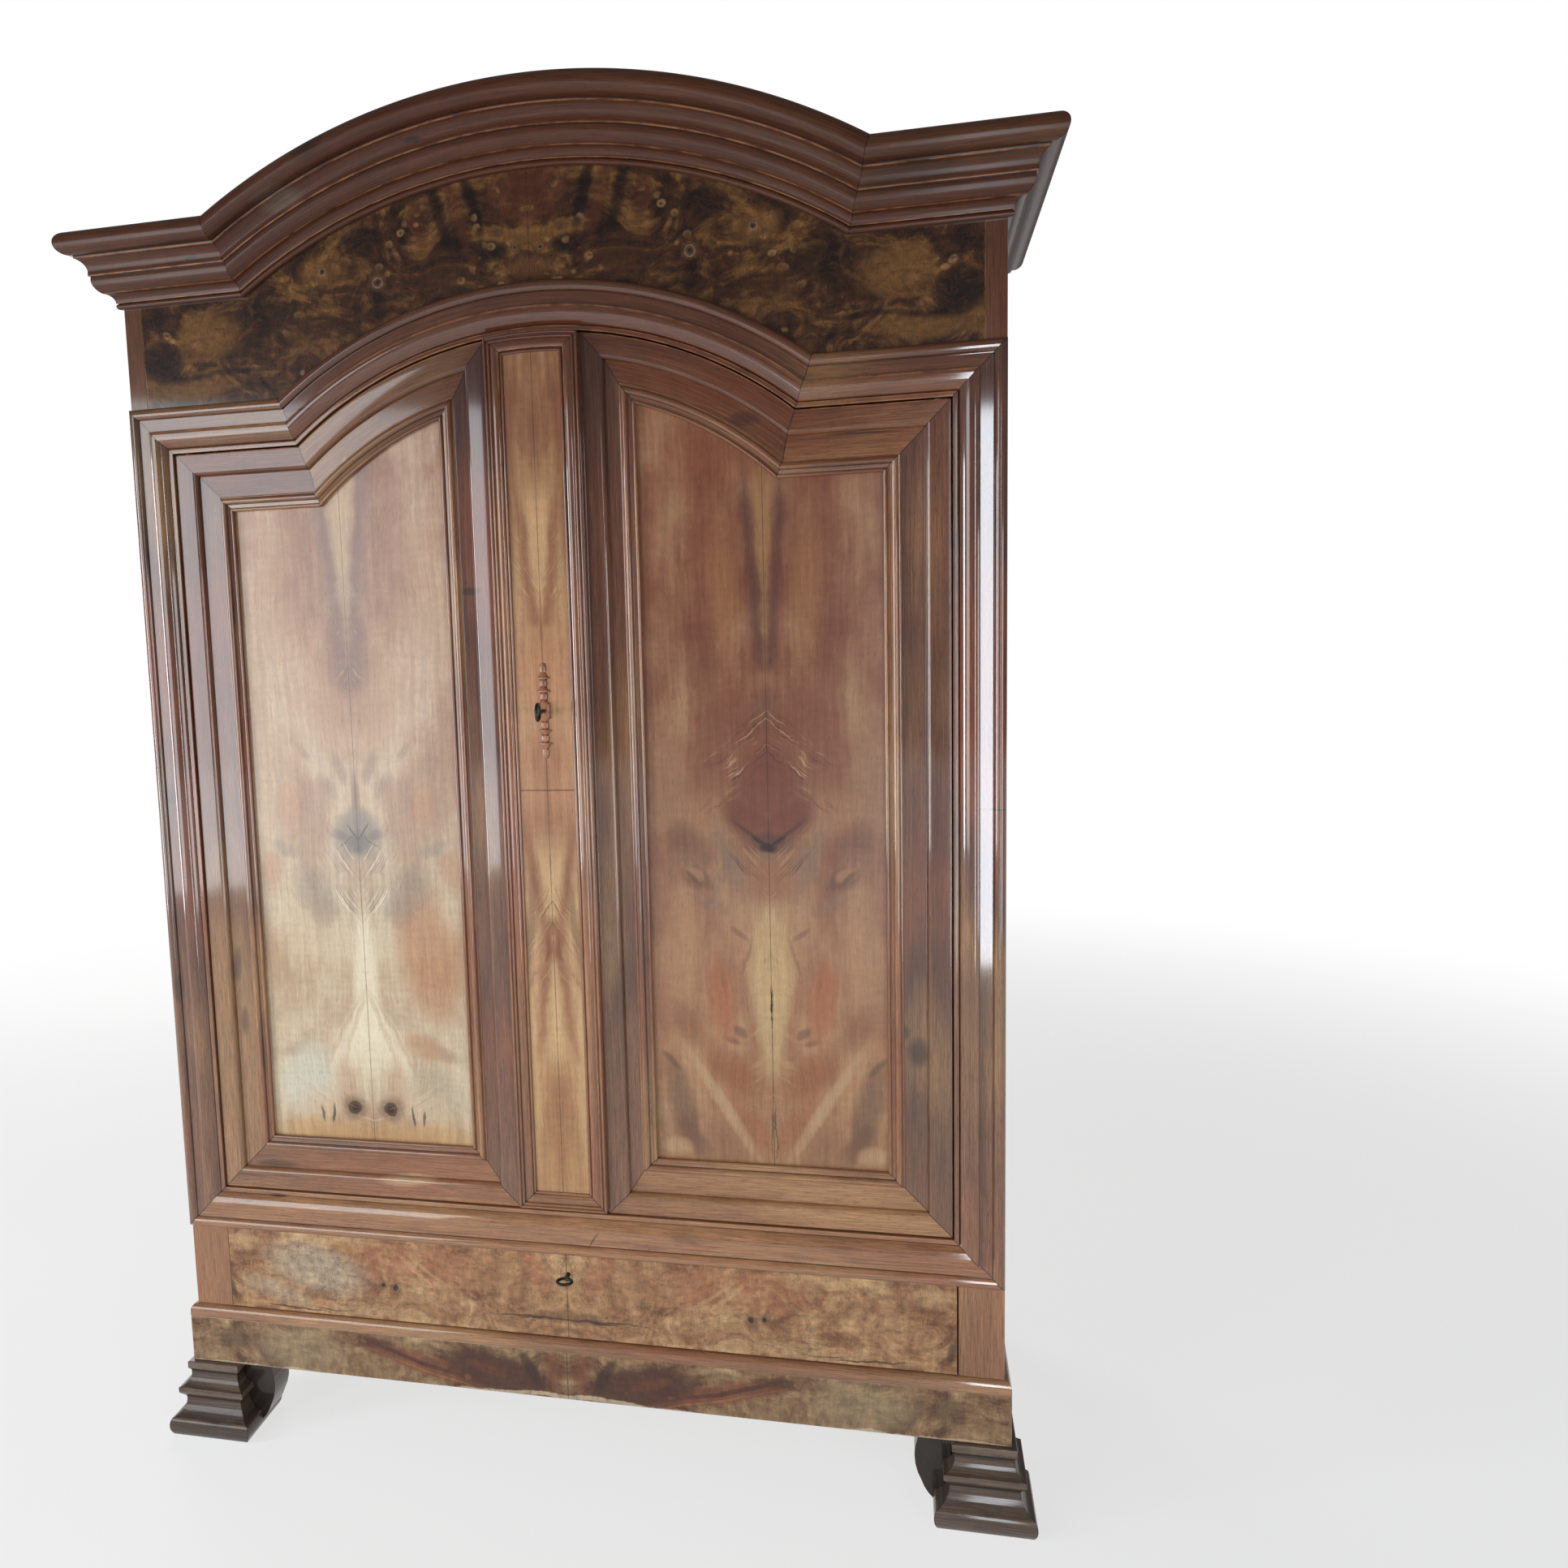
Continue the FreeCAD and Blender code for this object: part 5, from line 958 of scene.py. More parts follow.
class Shape:
    """A mesh in the making, with a grain, wear and joint value at every point; a wear below 0 paints shade in
    hollows.
    """

    def __init__(self) -> None:
        """Start an empty mesh."""
        self.bm = bmesh.new()
        self.grain = self.bm.verts.layers.float_vector.new("grain")
        self.wear = self.bm.verts.layers.float.new("wear")
        self.joint = self.bm.verts.layers.float.new("joint")
        self.known: set = set()

    def settle(self) -> None:
        """Take all that is there as finished, so that the next run is handled alone."""
        self.known = set(self.bm.verts)

    def fresh(self) -> list:
        """Give the points added since the last settling."""
        return [v for v in self.bm.verts if v not in self.known]

    def fresh_geometry(self) -> list:
        """Give the points, edges and faces added since the last settling.

        Returns:
            The points, edges and faces.
        """
        verts = self.fresh()
        own = set(verts)
        edges = [e for e in self.bm.edges if e.verts[0] in own]
        faces = [f for f in self.bm.faces if f.verts[0] in own]
        return verts + edges + faces

    def cut(self, point: Vector, normal: Vector) -> None:
        """Cut the fresh part off beyond a plane, close it and mark the cut as a joint.

        Args:
            point: a point of the plane.
            normal: the way that is cut off.
        """
        inset = normal.normalized() * JOINT_WIDTH
        bmesh.ops.bisect_plane(self.bm, geom=self.fresh_geometry(), dist=TOUCH, plane_co=point - inset,
                               plane_no=normal)
        made = bmesh.ops.bisect_plane(self.bm, geom=self.fresh_geometry(), dist=TOUCH, plane_co=point,
                                      plane_no=normal, clear_outer=True)
        rim = [e for e in made["geom_cut"] if isinstance(e, bmesh.types.BMEdge)]
        for edge in rim:
            for vert in edge.verts:
                vert[self.joint] = 1.0
        bmesh.ops.contextual_create(self.bm, geom=rim)

    def mirror_copy(self) -> None:
        """Add the mirror image of the fresh part on the other side of the middle."""
        geometry = self.fresh_geometry()
        copy = bmesh.ops.duplicate(self.bm, geom=geometry)["geom"]
        verts = [v for v in copy if isinstance(v, bmesh.types.BMVert)]
        faces = [f for f in copy if isinstance(f, bmesh.types.BMFace)]
        bmesh.ops.scale(self.bm, verts=verts, vec=(-1, 1, 1))
        bmesh.ops.reverse_faces(self.bm, faces=faces)
        for vert in verts:
            vert[self.grain] = vert[self.grain] + OTHER_BOARD

    def mesh(self, name: str, finish: bpy.types.Material, sharp: float = 32.0) -> bpy.types.Object:
        """Turn the mesh into an object.

        Args:
            name: the object's name.
            finish: its material.
            sharp: faces that meet at more than this many degrees keep a sharp edge.

        Returns:
            The object, linked to the scene.
        """
        bmesh.ops.recalc_face_normals(self.bm, faces=self.bm.faces)
        data = bpy.data.meshes.new(name)
        self.bm.to_mesh(data)
        self.bm.free()
        data.shade_smooth()
        data.set_sharp_from_angle(angle=math.radians(sharp))
        data.materials.append(finish)
        piece = bpy.data.objects.new(name, data)
        bpy.context.scene.collection.objects.link(piece)
        return piece


def circle_through(a: Pair, b: Pair, c: Pair) -> tuple[Pair, float, float, float]:
    """Find the circle through three points.

    Args:
        a: the start.
        b: a point on the way.
        c: the end.

    Returns:
        The centre, the radius, the start angle and the signed turn.
    """
    (ax, ay), (bx, by), (cx, cy) = a, b, c
    d = 2 * (ax * (by - cy) + bx * (cy - ay) + cx * (ay - by))
    a2, b2, c2 = ax * ax + ay * ay, bx * bx + by * by, cx * cx + cy * cy
    ux = (a2 * (by - cy) + b2 * (cy - ay) + c2 * (ay - by)) / d
    uy = (a2 * (cx - bx) + b2 * (ax - cx) + c2 * (bx - ax)) / d
    start = math.atan2(ay - uy, ax - ux)
    through = (math.atan2(by - uy, bx - ux) - start) % math.tau
    turn = (math.atan2(cy - uy, cx - ux) - start) % math.tau
    if through > turn:
        turn -= math.tau
    return (ux, uy), math.hypot(ax - ux, ay - uy), start, turn


def quarter(start: Pair, end: Pair, level_first: bool = False) -> tuple[Pair, Pair]:
    """Give the arc step of a quarter round that leaves start upright, or level, and ends at end.

    Args:
        start: where the arc starts.
        end: where it ends.
        level_first: whether it leaves its start level.

    Returns:
        A point on the way and the end.
    """
    share = math.sqrt(0.5)
    dx, dz = end[0] - start[0], end[1] - start[1]
    if level_first:
        return (start[0] + dx * share, end[1] - dz * share), end
    return (end[0] - dx * share, start[1] + dz * share), end


class Profile:
    """A moulding's section as a closed line of (across, proud, wear) points; a wear of -1 marks a hollow
    corner, where shade is painted.

    A step is a point, or a pair of points for an arc: one that it passes and its end.
    """

    least_turn = math.radians(16)
    most_reach = 0.3
    shoulder = 1.5

    def __init__(self, start: Pair, *steps: object, ease: float = 0.0007, arc_step: float = 9.0) -> None:
        """Trace the steps and round the corners.

        Args:
            start: the first point, at the back of the moulding.
            steps: the further points and arcs.
            ease: how far a corner is rounded.
            arc_step: the turn between two points of an arc, in degrees.
        """
        points: list[Pair] = [start]
        for step in steps:
            if isinstance(step[0], tuple):
                points += self._arc(points[-1], step[0], step[1], arc_step)
            else:
                points.append(step)
        self.points = self._eased(points, ease)

    @staticmethod
    def _arc(start: Pair, via: Pair, end: Pair, arc_step: float) -> list[Pair]:
        """Give the points of an arc after its start.

        Args:
            start: where the arc starts.
            via: a point that it passes.
            end: where it ends.
            arc_step: the turn between two points, in degrees.

        Returns:
            The points.
        """
        (x, y), radius, angle, turn = circle_through(start, via, end)
        count = max(4, round(abs(math.degrees(turn)) / arc_step))
        angles = [angle + turn * i / count for i in range(1, count + 1)]
        return [(x + radius * math.cos(here), y + radius * math.sin(here)) for here in angles]

    @staticmethod
    def _eased(points: list[Pair], ease: float) -> list[tuple[float, float, float]]:
        """Round the corners off the back and note which stand out and which lie in.

        Args:
            points: the corners.
            ease: how far a corner is rounded.

        Returns:
            The points, each with its wear: 1 on a worn arris, -1 in a hollow corner where shade is painted.
        """
        count = len(points)
        area = sum(points[i][0] * points[(i + 1) % count][1] - points[(i + 1) % count][0] * points[i][1]
                   for i in range(count))
        back = min(p[1] for p in points)
        result = []
        for i, point in enumerate(points):
            here = Vector(point)
            before, after = here - Vector(points[i - 1]), Vector(points[(i + 1) % count]) - here
            turn = before.angle_signed(after) * (-1 if area > 0 else 1)
            if point[1] <= back + TOUCH or abs(turn) < Profile.least_turn:
                result.append((*point, 0.0))
                continue
            reach = min(ease, Profile.most_reach * min(before.length, after.length))
            first, last = here - before.normalized() * reach, here + after.normalized() * reach
            middle = (first + last) * 0.25 + here * 0.5
            # Worn arrises get 1; hollow corners get -1, which the wood finish paints dark as shade and dust.
            mark = 1.0 if turn > 0 else -1.0
            if before.length > 8 * reach:
                result.append((*(first - before.normalized() * reach * Profile.shoulder), 0.0))
            result += [(*first, mark), (*middle, mark), (*last, mark)]
            if after.length > 8 * reach:
                result.append((*(last + after.normalized() * reach * Profile.shoulder), 0.0))
        return result


@dataclass
class Run:
    """A length of a profile: where it starts, which way it lies and how far it goes.

    A bent run turns round the line through the arch centre instead of going straight.
    """

    profile: Profile
    origin: Vector
    across: Vector
    proud: Vector
    along: Vector
    length: float = 0.0
    sweep: float = 0.0
    steps: int = 128

    def add(self, shape: Shape, mitres: Iterable[tuple[Vector, Vector]], seed: float) -> None:
        """Add the run to a shape.

        Args:
            shape: the mesh that it joins.
            mitres: a point and an outward direction of each plane that cuts it.
            seed: sets which piece of the wood it shows.
        """
        shape.settle()
        verts = []
        for across, proud, wear in self.profile.points:
            vert = shape.bm.verts.new(self.origin + self.across * across + self.proud * proud)
            vert[shape.wear] = wear
            verts.append(vert)
        face = shape.bm.faces.new(verts)
        centre = Vector((0, self.origin.y, LEVELS.arch_centre))
        if self.sweep:
            bmesh.ops.rotate(shape.bm, verts=verts, cent=centre, matrix=Matrix.Rotation(-self.sweep, 3, BACK))
            bmesh.ops.spin(shape.bm, geom=[face], cent=centre, axis=BACK, angle=2 * self.sweep,
                           steps=self.steps)
        else:
            made = bmesh.ops.extrude_face_region(shape.bm, geom=[face])["geom"]
            bmesh.ops.translate(shape.bm, verts=[v for v in made if isinstance(v, bmesh.types.BMVert)],
                                vec=self.along * self.length)
        for point, normal in mitres:
            shape.cut(point, normal)
        radius = (self.origin - centre).length
        for vert in shape.fresh():
            if self.sweep:
                out = vert.co - centre
                angle = math.atan2(out.x, out.z)
                depth = out.y
                vert[shape.grain] = (angle * radius + seed, math.hypot(out.x, out.z) + seed, depth + seed)
            else:
                out = vert.co - self.origin
                vert[shape.grain] = (out.dot(self.along) + seed, out.dot(self.across) + seed,
                                     out.dot(self.proud) + seed)


def elevation(x: float, z: float, depth: float = 0.0) -> Vector:
    """Give the point at x and z, at a depth behind the carcass face."""
    return Vector((x, LEVELS.front + depth, z))


def mitre(first: Pair, second: Pair, away_from: Pair) -> tuple[Vector, Vector]:
    """Give the plane through two points of the front view that keeps a third one.

    Args:
        first: one end of the joint, as x and z.
        second: its other end.
        away_from: a point of the kept side.

    Returns:
        A point of the plane and the direction that is cut off.
    """
    start = Vector((first[0], 0, first[1]))
    run = Vector((second[0] - first[0], 0, second[1] - first[1])).normalized()
    normal = Vector((run.z, 0, -run.x))
    kept = Vector((away_from[0], 0, away_from[1])) - start
    if kept.dot(normal) > 0:
        normal = -normal
    return start - normal * MITRE_GAP, normal


def flip(pair: Pair, sign: float = -1) -> Pair:
    """Give the point's mirror image in the front view, or itself for a sign of 1."""
    return pair[0] * sign, pair[1]


def islands(bm: bmesh.types.BMesh) -> list[list]:
    """Give the points of each separate solid of a mesh.

    Args:
        bm: the mesh.

    Returns:
        One list of points for each solid.
    """
    left = set(bm.verts)
    found = []
    for vert in bm.verts:
        if vert not in left:
            continue
        group, queue = [], [vert]
        left.discard(vert)
        while queue:
            here = queue.pop()
            group.append(here)
            for edge in here.link_edges:
                other = edge.other_vert(here)
                if other in left:
                    left.discard(other)
                    queue.append(other)
        found.append(group)
    return found


def eased_copy(node: str, finish: bpy.types.Material, ease: float) -> bpy.types.Object:
    """Copy a CAD node, ease its arrises and lay the grain along the longest side of each solid.

    Args:
        node: the CAD node that is replaced.
        finish: the material.
        ease: how far the arrises are rounded.

    Returns:
        The new object.
    """
    bm = bmesh.new()
    bm.from_mesh(frame["nodes"][node].data)
    bmesh.ops.remove_doubles(bm, verts=bm.verts, dist=2 * TOUCH)
    bmesh.ops.dissolve_limit(bm, angle_limit=FLAT_ANGLE, verts=bm.verts, edges=bm.edges)
    edges = [e for e in bm.edges if len(e.link_faces) == 2 and e.calc_face_angle(0) > ARRIS_ANGLE]
    arrises = {e for e in edges if e.is_convex}
    made = bmesh.ops.bevel(bm, geom=list(arrises), offset=ease, offset_type="OFFSET", segments=2, profile=0.5,
                           affect="EDGES", material=-1, clamp_overlap=True)
    wear = bm.loops.layers.float.new("wear")
    for face in made["faces"]:
        for loop in face.loops:
            loop[wear] = 1.0
    layer = bm.verts.layers.float_vector.new("grain")
    for number, group in enumerate(islands(bm)):
        low = Vector(min(v.co[i] for v in group) for i in range(3))
        high = Vector(max(v.co[i] for v in group) for i in range(3))
        size = high - low
        run = max(range(3), key=lambda i: size[i])
        rest = [i for i in range(3) if i != run]
        seed = SOLID_SHIFT * (number + 1) + (sum(ord(c) for c in node) % NODE_SHIFTS) * NODE_SHIFT
        for vert in group:
            vert[layer] = (vert.co[run] + seed, vert.co[rest[0]] + seed, vert.co[rest[1]] + seed)
    data = bpy.data.meshes.new(node + "_eased")
    bm.to_mesh(data)
    bm.free()
    imported = data.attributes.get("custom_normal")
    if imported is not None:
        data.attributes.remove(imported)
    data.shade_smooth()
    data.set_sharp_from_angle(angle=SHARP_ANGLE)
    bent = [any(data.corner_normals[i].vector.dot(face.normal) < FLAT_DOT for i in face.loop_indices)
            for face in data.polygons]
    data.polygons.foreach_set("use_smooth", bent)
    data.materials.clear()
    data.materials.append(finish)
    piece = bpy.data.objects.new(node + "_eased", data)
    bpy.context.scene.collection.objects.link(piece)
    return piece


def settle(piece: bpy.types.Object, body: str, slot: str, *nodes: str) -> None:
    """Put a piece on its body in the place of its CAD nodes and report it.

    Args:
        piece: the new object.
        body: the CAD body that it moves with.
        slot: the record's material slot; not used.
        nodes: the CAD nodes that it stands for.
    """
    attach(piece, body)
    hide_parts(*nodes)
    log.info("%s on %s stands for %s, %d faces", piece.name, body, ", ".join(nodes), len(piece.data.polygons))


def node_facts() -> dict[str, tuple[str, str]]:
    """Give the body and the material slot of every CAD node.

    Returns:
        The body and the slot by the node's name.
    """
    slots = {part["node"]: part["material_slot"] for part in frame["record"]["subparts"]}
    bodies = frame["record"]["behaviour"]["bodies"]
    return {node: (body, slots[node]) for body, nodes in bodies.items() for node in nodes}


# Sub-assemblies

@dataclass
class Cornice:
    """The arched cornice: a mitred arch, two straight ends and two side returns."""

    bead: float = 0.009
    bead_out: float = 0.008
    hollow: float = 0.013
    belly_rise: float = 0.024
    belly_out: float = 0.012
    fillet: float = 0.003
    cove_rise: float = 0.022
    cove_out: float = 0.014
    nose_radius: float = 0.0175
    nose_back: float = 0.0035
    depth: float = 0.55
    half_sweep: float = 0.75
    end_start: float = 0.3
    end_run: float = 0.55
    return_lead: float = 0.15
    overrun: float = 0.2

    @property
    def rise(self) -> float:
        """Give the whole height."""
        return (self.bead + self.hollow + self.belly_rise + 2 * self.fillet + self.cove_rise
                + 2 * self.nose_radius)

    def section(self) -> Profile:
        """Draw the section, with across upwards and proud outwards.

        Returns:
            The profile.
        """
        bead, out = self.bead, self.bead_out
        q2 = bead + self.hollow
        q3 = q2 + self.belly_rise
        q4 = q3 + self.fillet
        q5 = q4 + self.cove_rise
        q6 = q5 + self.fillet
        hollow_top = out + self.hollow
        belly_top = hollow_top + self.belly_out
        cove_foot = belly_top + self.fillet
        cove_top = cove_foot + self.cove_out
        nose = cove_top + self.nose_back
        steps = [(out / 2, 0.0), ((out, bead / 2), (out / 2, bead)), (out, bead),
                 quarter((out, bead), (hollow_top, q2)),
                 quarter((hollow_top, q2), (belly_top, q3), True),
                 (cove_foot, q3), (cove_foot, q4), quarter((cove_foot, q4), (cove_top, q5)),
                 (cove_top, q6), (nose, q6),
                 ((nose + self.nose_radius, q6 + self.nose_radius), (nose, self.rise)), (0.0, self.rise)]
        turned = [(s[0][::-1], s[1][::-1]) if isinstance(s[0], tuple) else s[::-1] for s in steps]
        return Profile((0.0, 0.0), *turned, ease=0.0009, arc_step=7.5)

    def build(self, finishes: Finishes) -> None:
        """Build the five lengths.

        Args:
            finishes: the finishes of the wardrobe.
        """
        lv = LEVELS
        radius = lv.surround_radius + lv.frieze_crown
        bottom = lv.cornice_bottom
        top = bottom + self.rise
        low = (lv.arch_x(radius, bottom), bottom)
        high = (lv.arch_x(radius + self.rise, top), top)
        section = self.section()
        shape = Shape()
        arch = Run(section, elevation(0, lv.arch_centre + radius), UP, OUT, RIGHT, sweep=self.half_sweep,
                   steps=144)
        crown = (0.0, top + self.overrun)
        arch.add(shape, [mitre(low, high, crown), mitre(flip(low), flip(high), crown)], 0.4)
        settle(shape.mesh("cornice_arch_moulding", finishes.cornice), "carcass", "walnut_moulding",
               "cornice_arch")
        corner = elevation(lv.half_body, bottom)
        for side in Side:
            shape = Shape()
            sign = side.value
            start = elevation(sign * self.end_start, bottom)
            run = Run(section, start, UP, OUT, RIGHT * sign, self.end_run)
            joint = mitre(flip(low, sign), flip(high, sign), (sign * 2.0, bottom))
            end, beyond = Vector((corner.x * sign, corner.y, 0)), Vector((sign, 1, 0))
            run.add(shape, [joint, (end - beyond * CORNER_GAP, beyond)], 2.3 + sign)
            name = "cornice_end_" + side.name.lower()
            settle(shape.mesh(name + "_moulding", finishes.cornice), "carcass", "walnut_moulding", name)
        shape = Shape()
        run = Run(section, corner + OUT * self.return_lead, UP, RIGHT, BACK, self.depth + self.overrun)
        beyond = Vector((-1, -1, 0))
        run.add(shape, [(corner - beyond * CORNER_GAP, beyond), (Vector((0, lv.back, 0)), BACK)], 5.1)
        shape.mirror_copy()
        settle(shape.mesh("cornice_return_mouldings", finishes.cornice), "carcass", "walnut_moulding",
               "cornice_returns")


@dataclass
class Surround:
    """The raised moulding round the two doors."""

    bead: float = 0.018
    bead_height: float = 0.014
    flat: float = 0.02
    flat_height: float = 0.008
    ovolo: float = 0.028
    ovolo_height: float = 0.016
    arris_height: float = 0.008
    quirk_height: float = 0.004
    half_sweep: float = 0.85
    overrun: float = 0.05
    head_start: float = 0.2
    head_run: float = 0.6
    side_run: float = 1.5
    bottom_start: float = 0.7

    def section(self) -> Profile:
        """Draw the section from the outer edge inwards.

        Returns:
            The profile.
        """
        t1 = self.bead
        t2 = t1 + self.flat
        t3 = t2 + self.ovolo
        t4 = LEVELS.surround_width
        return Profile(
            (0.0, 0.0), (0.0, self.quirk_height), ((t1 / 2, self.bead_height), (t1, self.flat_height)),
            (t2, self.flat_height), (t2, self.ovolo_height),
            quarter((t2, self.ovolo_height), (t3, self.quirk_height), True),
            (t3, self.arris_height), (t4, self.arris_height), (t4, 0.0), ease=0.0008)

    def build(self, finishes: Finishes) -> None:
        """Build the arch, two heads, two sides and the bottom.

        Args:
            finishes: the finishes of the wardrobe.
        """
        lv = LEVELS
        w = lv.surround_width
        section = self.section()
        radius = lv.surround_radius
        top, bottom, half = lv.surround_top, lv.surround_bottom, lv.half_body
        joint_out = (lv.arch_x(radius, top), top)
        joint_in = (lv.arch_x(radius - w, top - w), top - w)
        shape = Shape()
        crown = (0.0, lv.arch_centre + radius)
        arch = Run(section, elevation(*crown), -UP, OUT, RIGHT, sweep=self.half_sweep)
        arch.add(shape, [mitre(joint_in, joint_out, crown),
                         mitre(flip(joint_in), flip(joint_out), crown)], 7.0)
        settle(shape.mesh("surround_arch_moulding", finishes.moulding), "carcass", "walnut_moulding",
               "surround_arch")
        shape = Shape()
        high, high_in = (half, top), (half - w, top - w)
        run = Run(section, elevation(self.head_start, top), -UP, OUT, RIGHT, self.head_run)
        run.add(shape, [mitre(joint_in, joint_out, (1.0, top)), mitre(high, high_in, (0, top))], 8.6)
        shape.mirror_copy()
        settle(shape.mesh("surround_head_mouldings", finishes.moulding), "carcass", "walnut_moulding",
               "surround_heads")
        low, low_in = (half, bottom), (half - w, bottom + w)
        middle = (top + bottom) / 2
        for side in Side:
            sign = side.value
            shape = Shape()
            start = elevation(sign * half, bottom - self.overrun)
            run = Run(section, start, RIGHT * -sign, OUT, UP, self.side_run)
            kept = (sign * half, middle)
            ends = [mitre(flip(corner, sign), flip(inner, sign), kept)
                    for corner, inner in ((low, low_in), (high, high_in))]
            run.add(shape, ends, 11.0 + sign * 1.7)
            name = "surround_side_" + side.name.lower()
            settle(shape.mesh(name + "_moulding", finishes.stile), "carcass", "walnut_moulding", name)
        shape = Shape()
        start = elevation(-self.bottom_start, bottom)
        run = Run(section, start, UP, OUT, RIGHT, 2 * self.bottom_start)
        run.add(shape, [mitre(low, low_in, (0, bottom)), mitre(flip(low), flip(low_in), (0, bottom))], 15.3)
        settle(shape.mesh("surround_bottom_moulding", finishes.moulding), "carcass", "walnut_moulding",
               "surround_bottom")


@dataclass
class DoorRing:
    """The corners of a door's outline drawn in from its edges."""

    x_out: float
    x_in: float
    low: float
    high: float
    radius: float

    @property
    def low_out(self) -> Pair:
        """Give the lower outer corner."""
        return self.x_out, self.low

    @property
    def high_out(self) -> Pair:
        """Give the upper outer corner."""
        return self.x_out, self.high

    @property
    def joint(self) -> Pair:
        """Give the corner where the top rail meets the arch."""
        return LEVELS.arch_x(self.radius, self.high), self.high

    @property
    def high_in(self) -> Pair:
        """Give the upper inner corner."""
        return self.x_in, LEVELS.arch_z(self.radius, self.x_in)

    @property
    def low_in(self) -> Pair:
        """Give the lower inner corner."""
        return self.x_in, self.low


@dataclass
class Door:
    """One door: its frame, the moulding round its panel and the panel."""

    side: Side
    inner: float
    outer_stile: float = 0.069
    inner_stile: float = 0.056
    rail: float = 0.069
    arch_rail: float = 0.065
    proud: float = 0.004
    thickness: float = 0.028
    band: float = 0.028
    step: float = 0.007
    sunk: float = 0.005
    groove_depth: float = 0.008
    panel: float = 0.011
    panel_setback: float = 0.003
    quirk: float = 0.003
    bead: float = 0.01
    bead_height: float = 0.008
    hollow: float = 0.006
    hollow_height: float = 0.002
    fine_bead: float = 0.004
    fine_bead_height: float = 0.005
    overrun: float = 0.05
    tall_run: float = 1.6
    wide_run: float = 0.7
    half_sweep: float = 0.9

    @property
    def key(self) -> str:
        """Give the side's name as the CAD nodes have it."""
        return self.side.name.lower()

    @property
    def body(self) -> str:
        """Give the body that the door is."""
        return self.key + "_door"

    def ring(self, inset: float) -> DoorRing:
        """Give the corners of the panel moulding's outline drawn in by inset.

        Args:
            inset: how far it is drawn in.

        Returns:
            The corners.
        """
        lv = LEVELS
        edge = lv.surround_width + lv.door_gap
        return DoorRing(lv.half_body - edge - self.outer_stile - inset, self.inner + self.inner_stile + inset,
                        lv.surround_bottom + edge + self.rail + inset,
                        lv.surround_top - edge - self.rail - inset,
                        lv.surround_radius - edge - self.arch_rail - inset)

    def moulding(self) -> Profile:
        """Draw the panel moulding from the frame inwards.

        Returns:
            The profile.
        """
        t1 = self.quirk
        t2 = t1 + self.bead
        t3 = t2 + self.hollow
        t4 = t3 + self.fine_bead
        foot = -self.panel_setback
        low = self.hollow_height / 2
        return Profile((0.0, foot), (0.0, low), (t1, low),
                       (((t1 + t2) / 2, self.bead_height), (t2, self.hollow_height)), (t3, low),
                       (((t3 + t4) / 2, self.fine_bead_height), (t4, 0.0)), (t4, foot), ease=0.0005)

    def length(self, piece: str, section: Profile, outer: DoorRing, inner: DoorRing, shape: Shape,
               depth: float, seed: float) -> None:
        """Add one mitred length that runs along a side of a ring.

        Args:
            piece: which side of the door: outer, inner, low, high or arch.
            section: the profile, across inwards from the outer ring.
            outer: the ring where the section starts.
            inner: the ring where it ends.
            shape: the mesh that it joins.
            depth: the depth of the section's zero behind the carcass face.
            seed: sets which piece of the wood it shows.
        """
        sign = self.side.value
        middle = (outer.low + outer.high) / 2
        centre = (outer.x_out + outer.x_in) / 2
        below, crown = outer.low - self.overrun, LEVELS.arch_centre + outer.radius
        upright, level = (OUT, UP, self.tall_run), (OUT, RIGHT * sign, self.wide_run)
        lengths = {
            "outer": (Run(section, elevation(sign * outer.x_out, below, depth), RIGHT * -sign, *upright),
                      ("low_out", "high_out"), (outer.x_out, middle)),
            "inner": (Run(section, elevation(sign * outer.x_in, below, depth), RIGHT * sign, *upright),
                      ("low_in", "high_in"), (outer.x_in, middle)),
            "low": (Run(section, elevation(0, outer.low, depth), UP, *level),
                    ("low_in", "low_out"), (centre, outer.low)),
            "high": (Run(section, elevation(0, outer.high, depth), -UP, *level),
                     ("high_out", "joint"), (outer.x_out - self.overrun, outer.high)),
            "arch": (Run(section, elevation(0, crown, depth), -UP, OUT, RIGHT, 0.0, self.half_sweep, 160),
                     ("joint", "high_in"), (centre, crown)),
        }
        run, corners, kept = lengths[piece]
        run.add(shape, [mitre(flip(getattr(outer, corner), sign), flip(getattr(inner, corner), sign),
                              flip(kept, sign)) for corner in corners], seed)

    def build_moulding(self, finishes: Finishes) -> None:
        """Build the five mitred lengths of the panel moulding.

        Args:
            finishes: the finishes of the wardrobe.
        """
        width = self.quirk + self.bead + self.hollow + self.fine_bead
        outer, inner = self.ring(0.0), self.ring(width)
        shape = Shape()
        for number, piece in enumerate(("outer", "inner", "low", "high", "arch")):
            seed = 20.0 + 3.7 * self.side.value + number * 1.3
            self.length(piece, self.moulding(), outer, inner, shape, self.sunk, seed)
        name = "door_" + self.key + "_panel_moulding"
        settle(shape.mesh(name + "_fine", finishes.moulding), self.body, "walnut_moulding", name)

    def edge_ring(self, inset: float) -> DoorRing:
        """Give the corners of the door's own outline drawn in evenly by inset.

        Args:
            inset: how far it is drawn in.

        Returns:
            The corners.
        """
        lv = LEVELS
        edge = lv.surround_width + lv.door_gap + inset
        return DoorRing(lv.half_body - edge, self.inner + inset, lv.surround_bottom + edge,
                        lv.surround_top - edge, lv.surround_radius - edge)

    def band_section(self) -> Profile:
        """Draw the raised band and its rounded step.

        Returns:
            The profile.
        """
        back = self.proud - self.thickness
        step = self.band + self.step
        return Profile((0.0, back), (0.0, self.proud), (self.band, self.proud),
                       quarter((self.band, self.proud), (step, -self.sunk), True), (step, back), ease=0.0009)

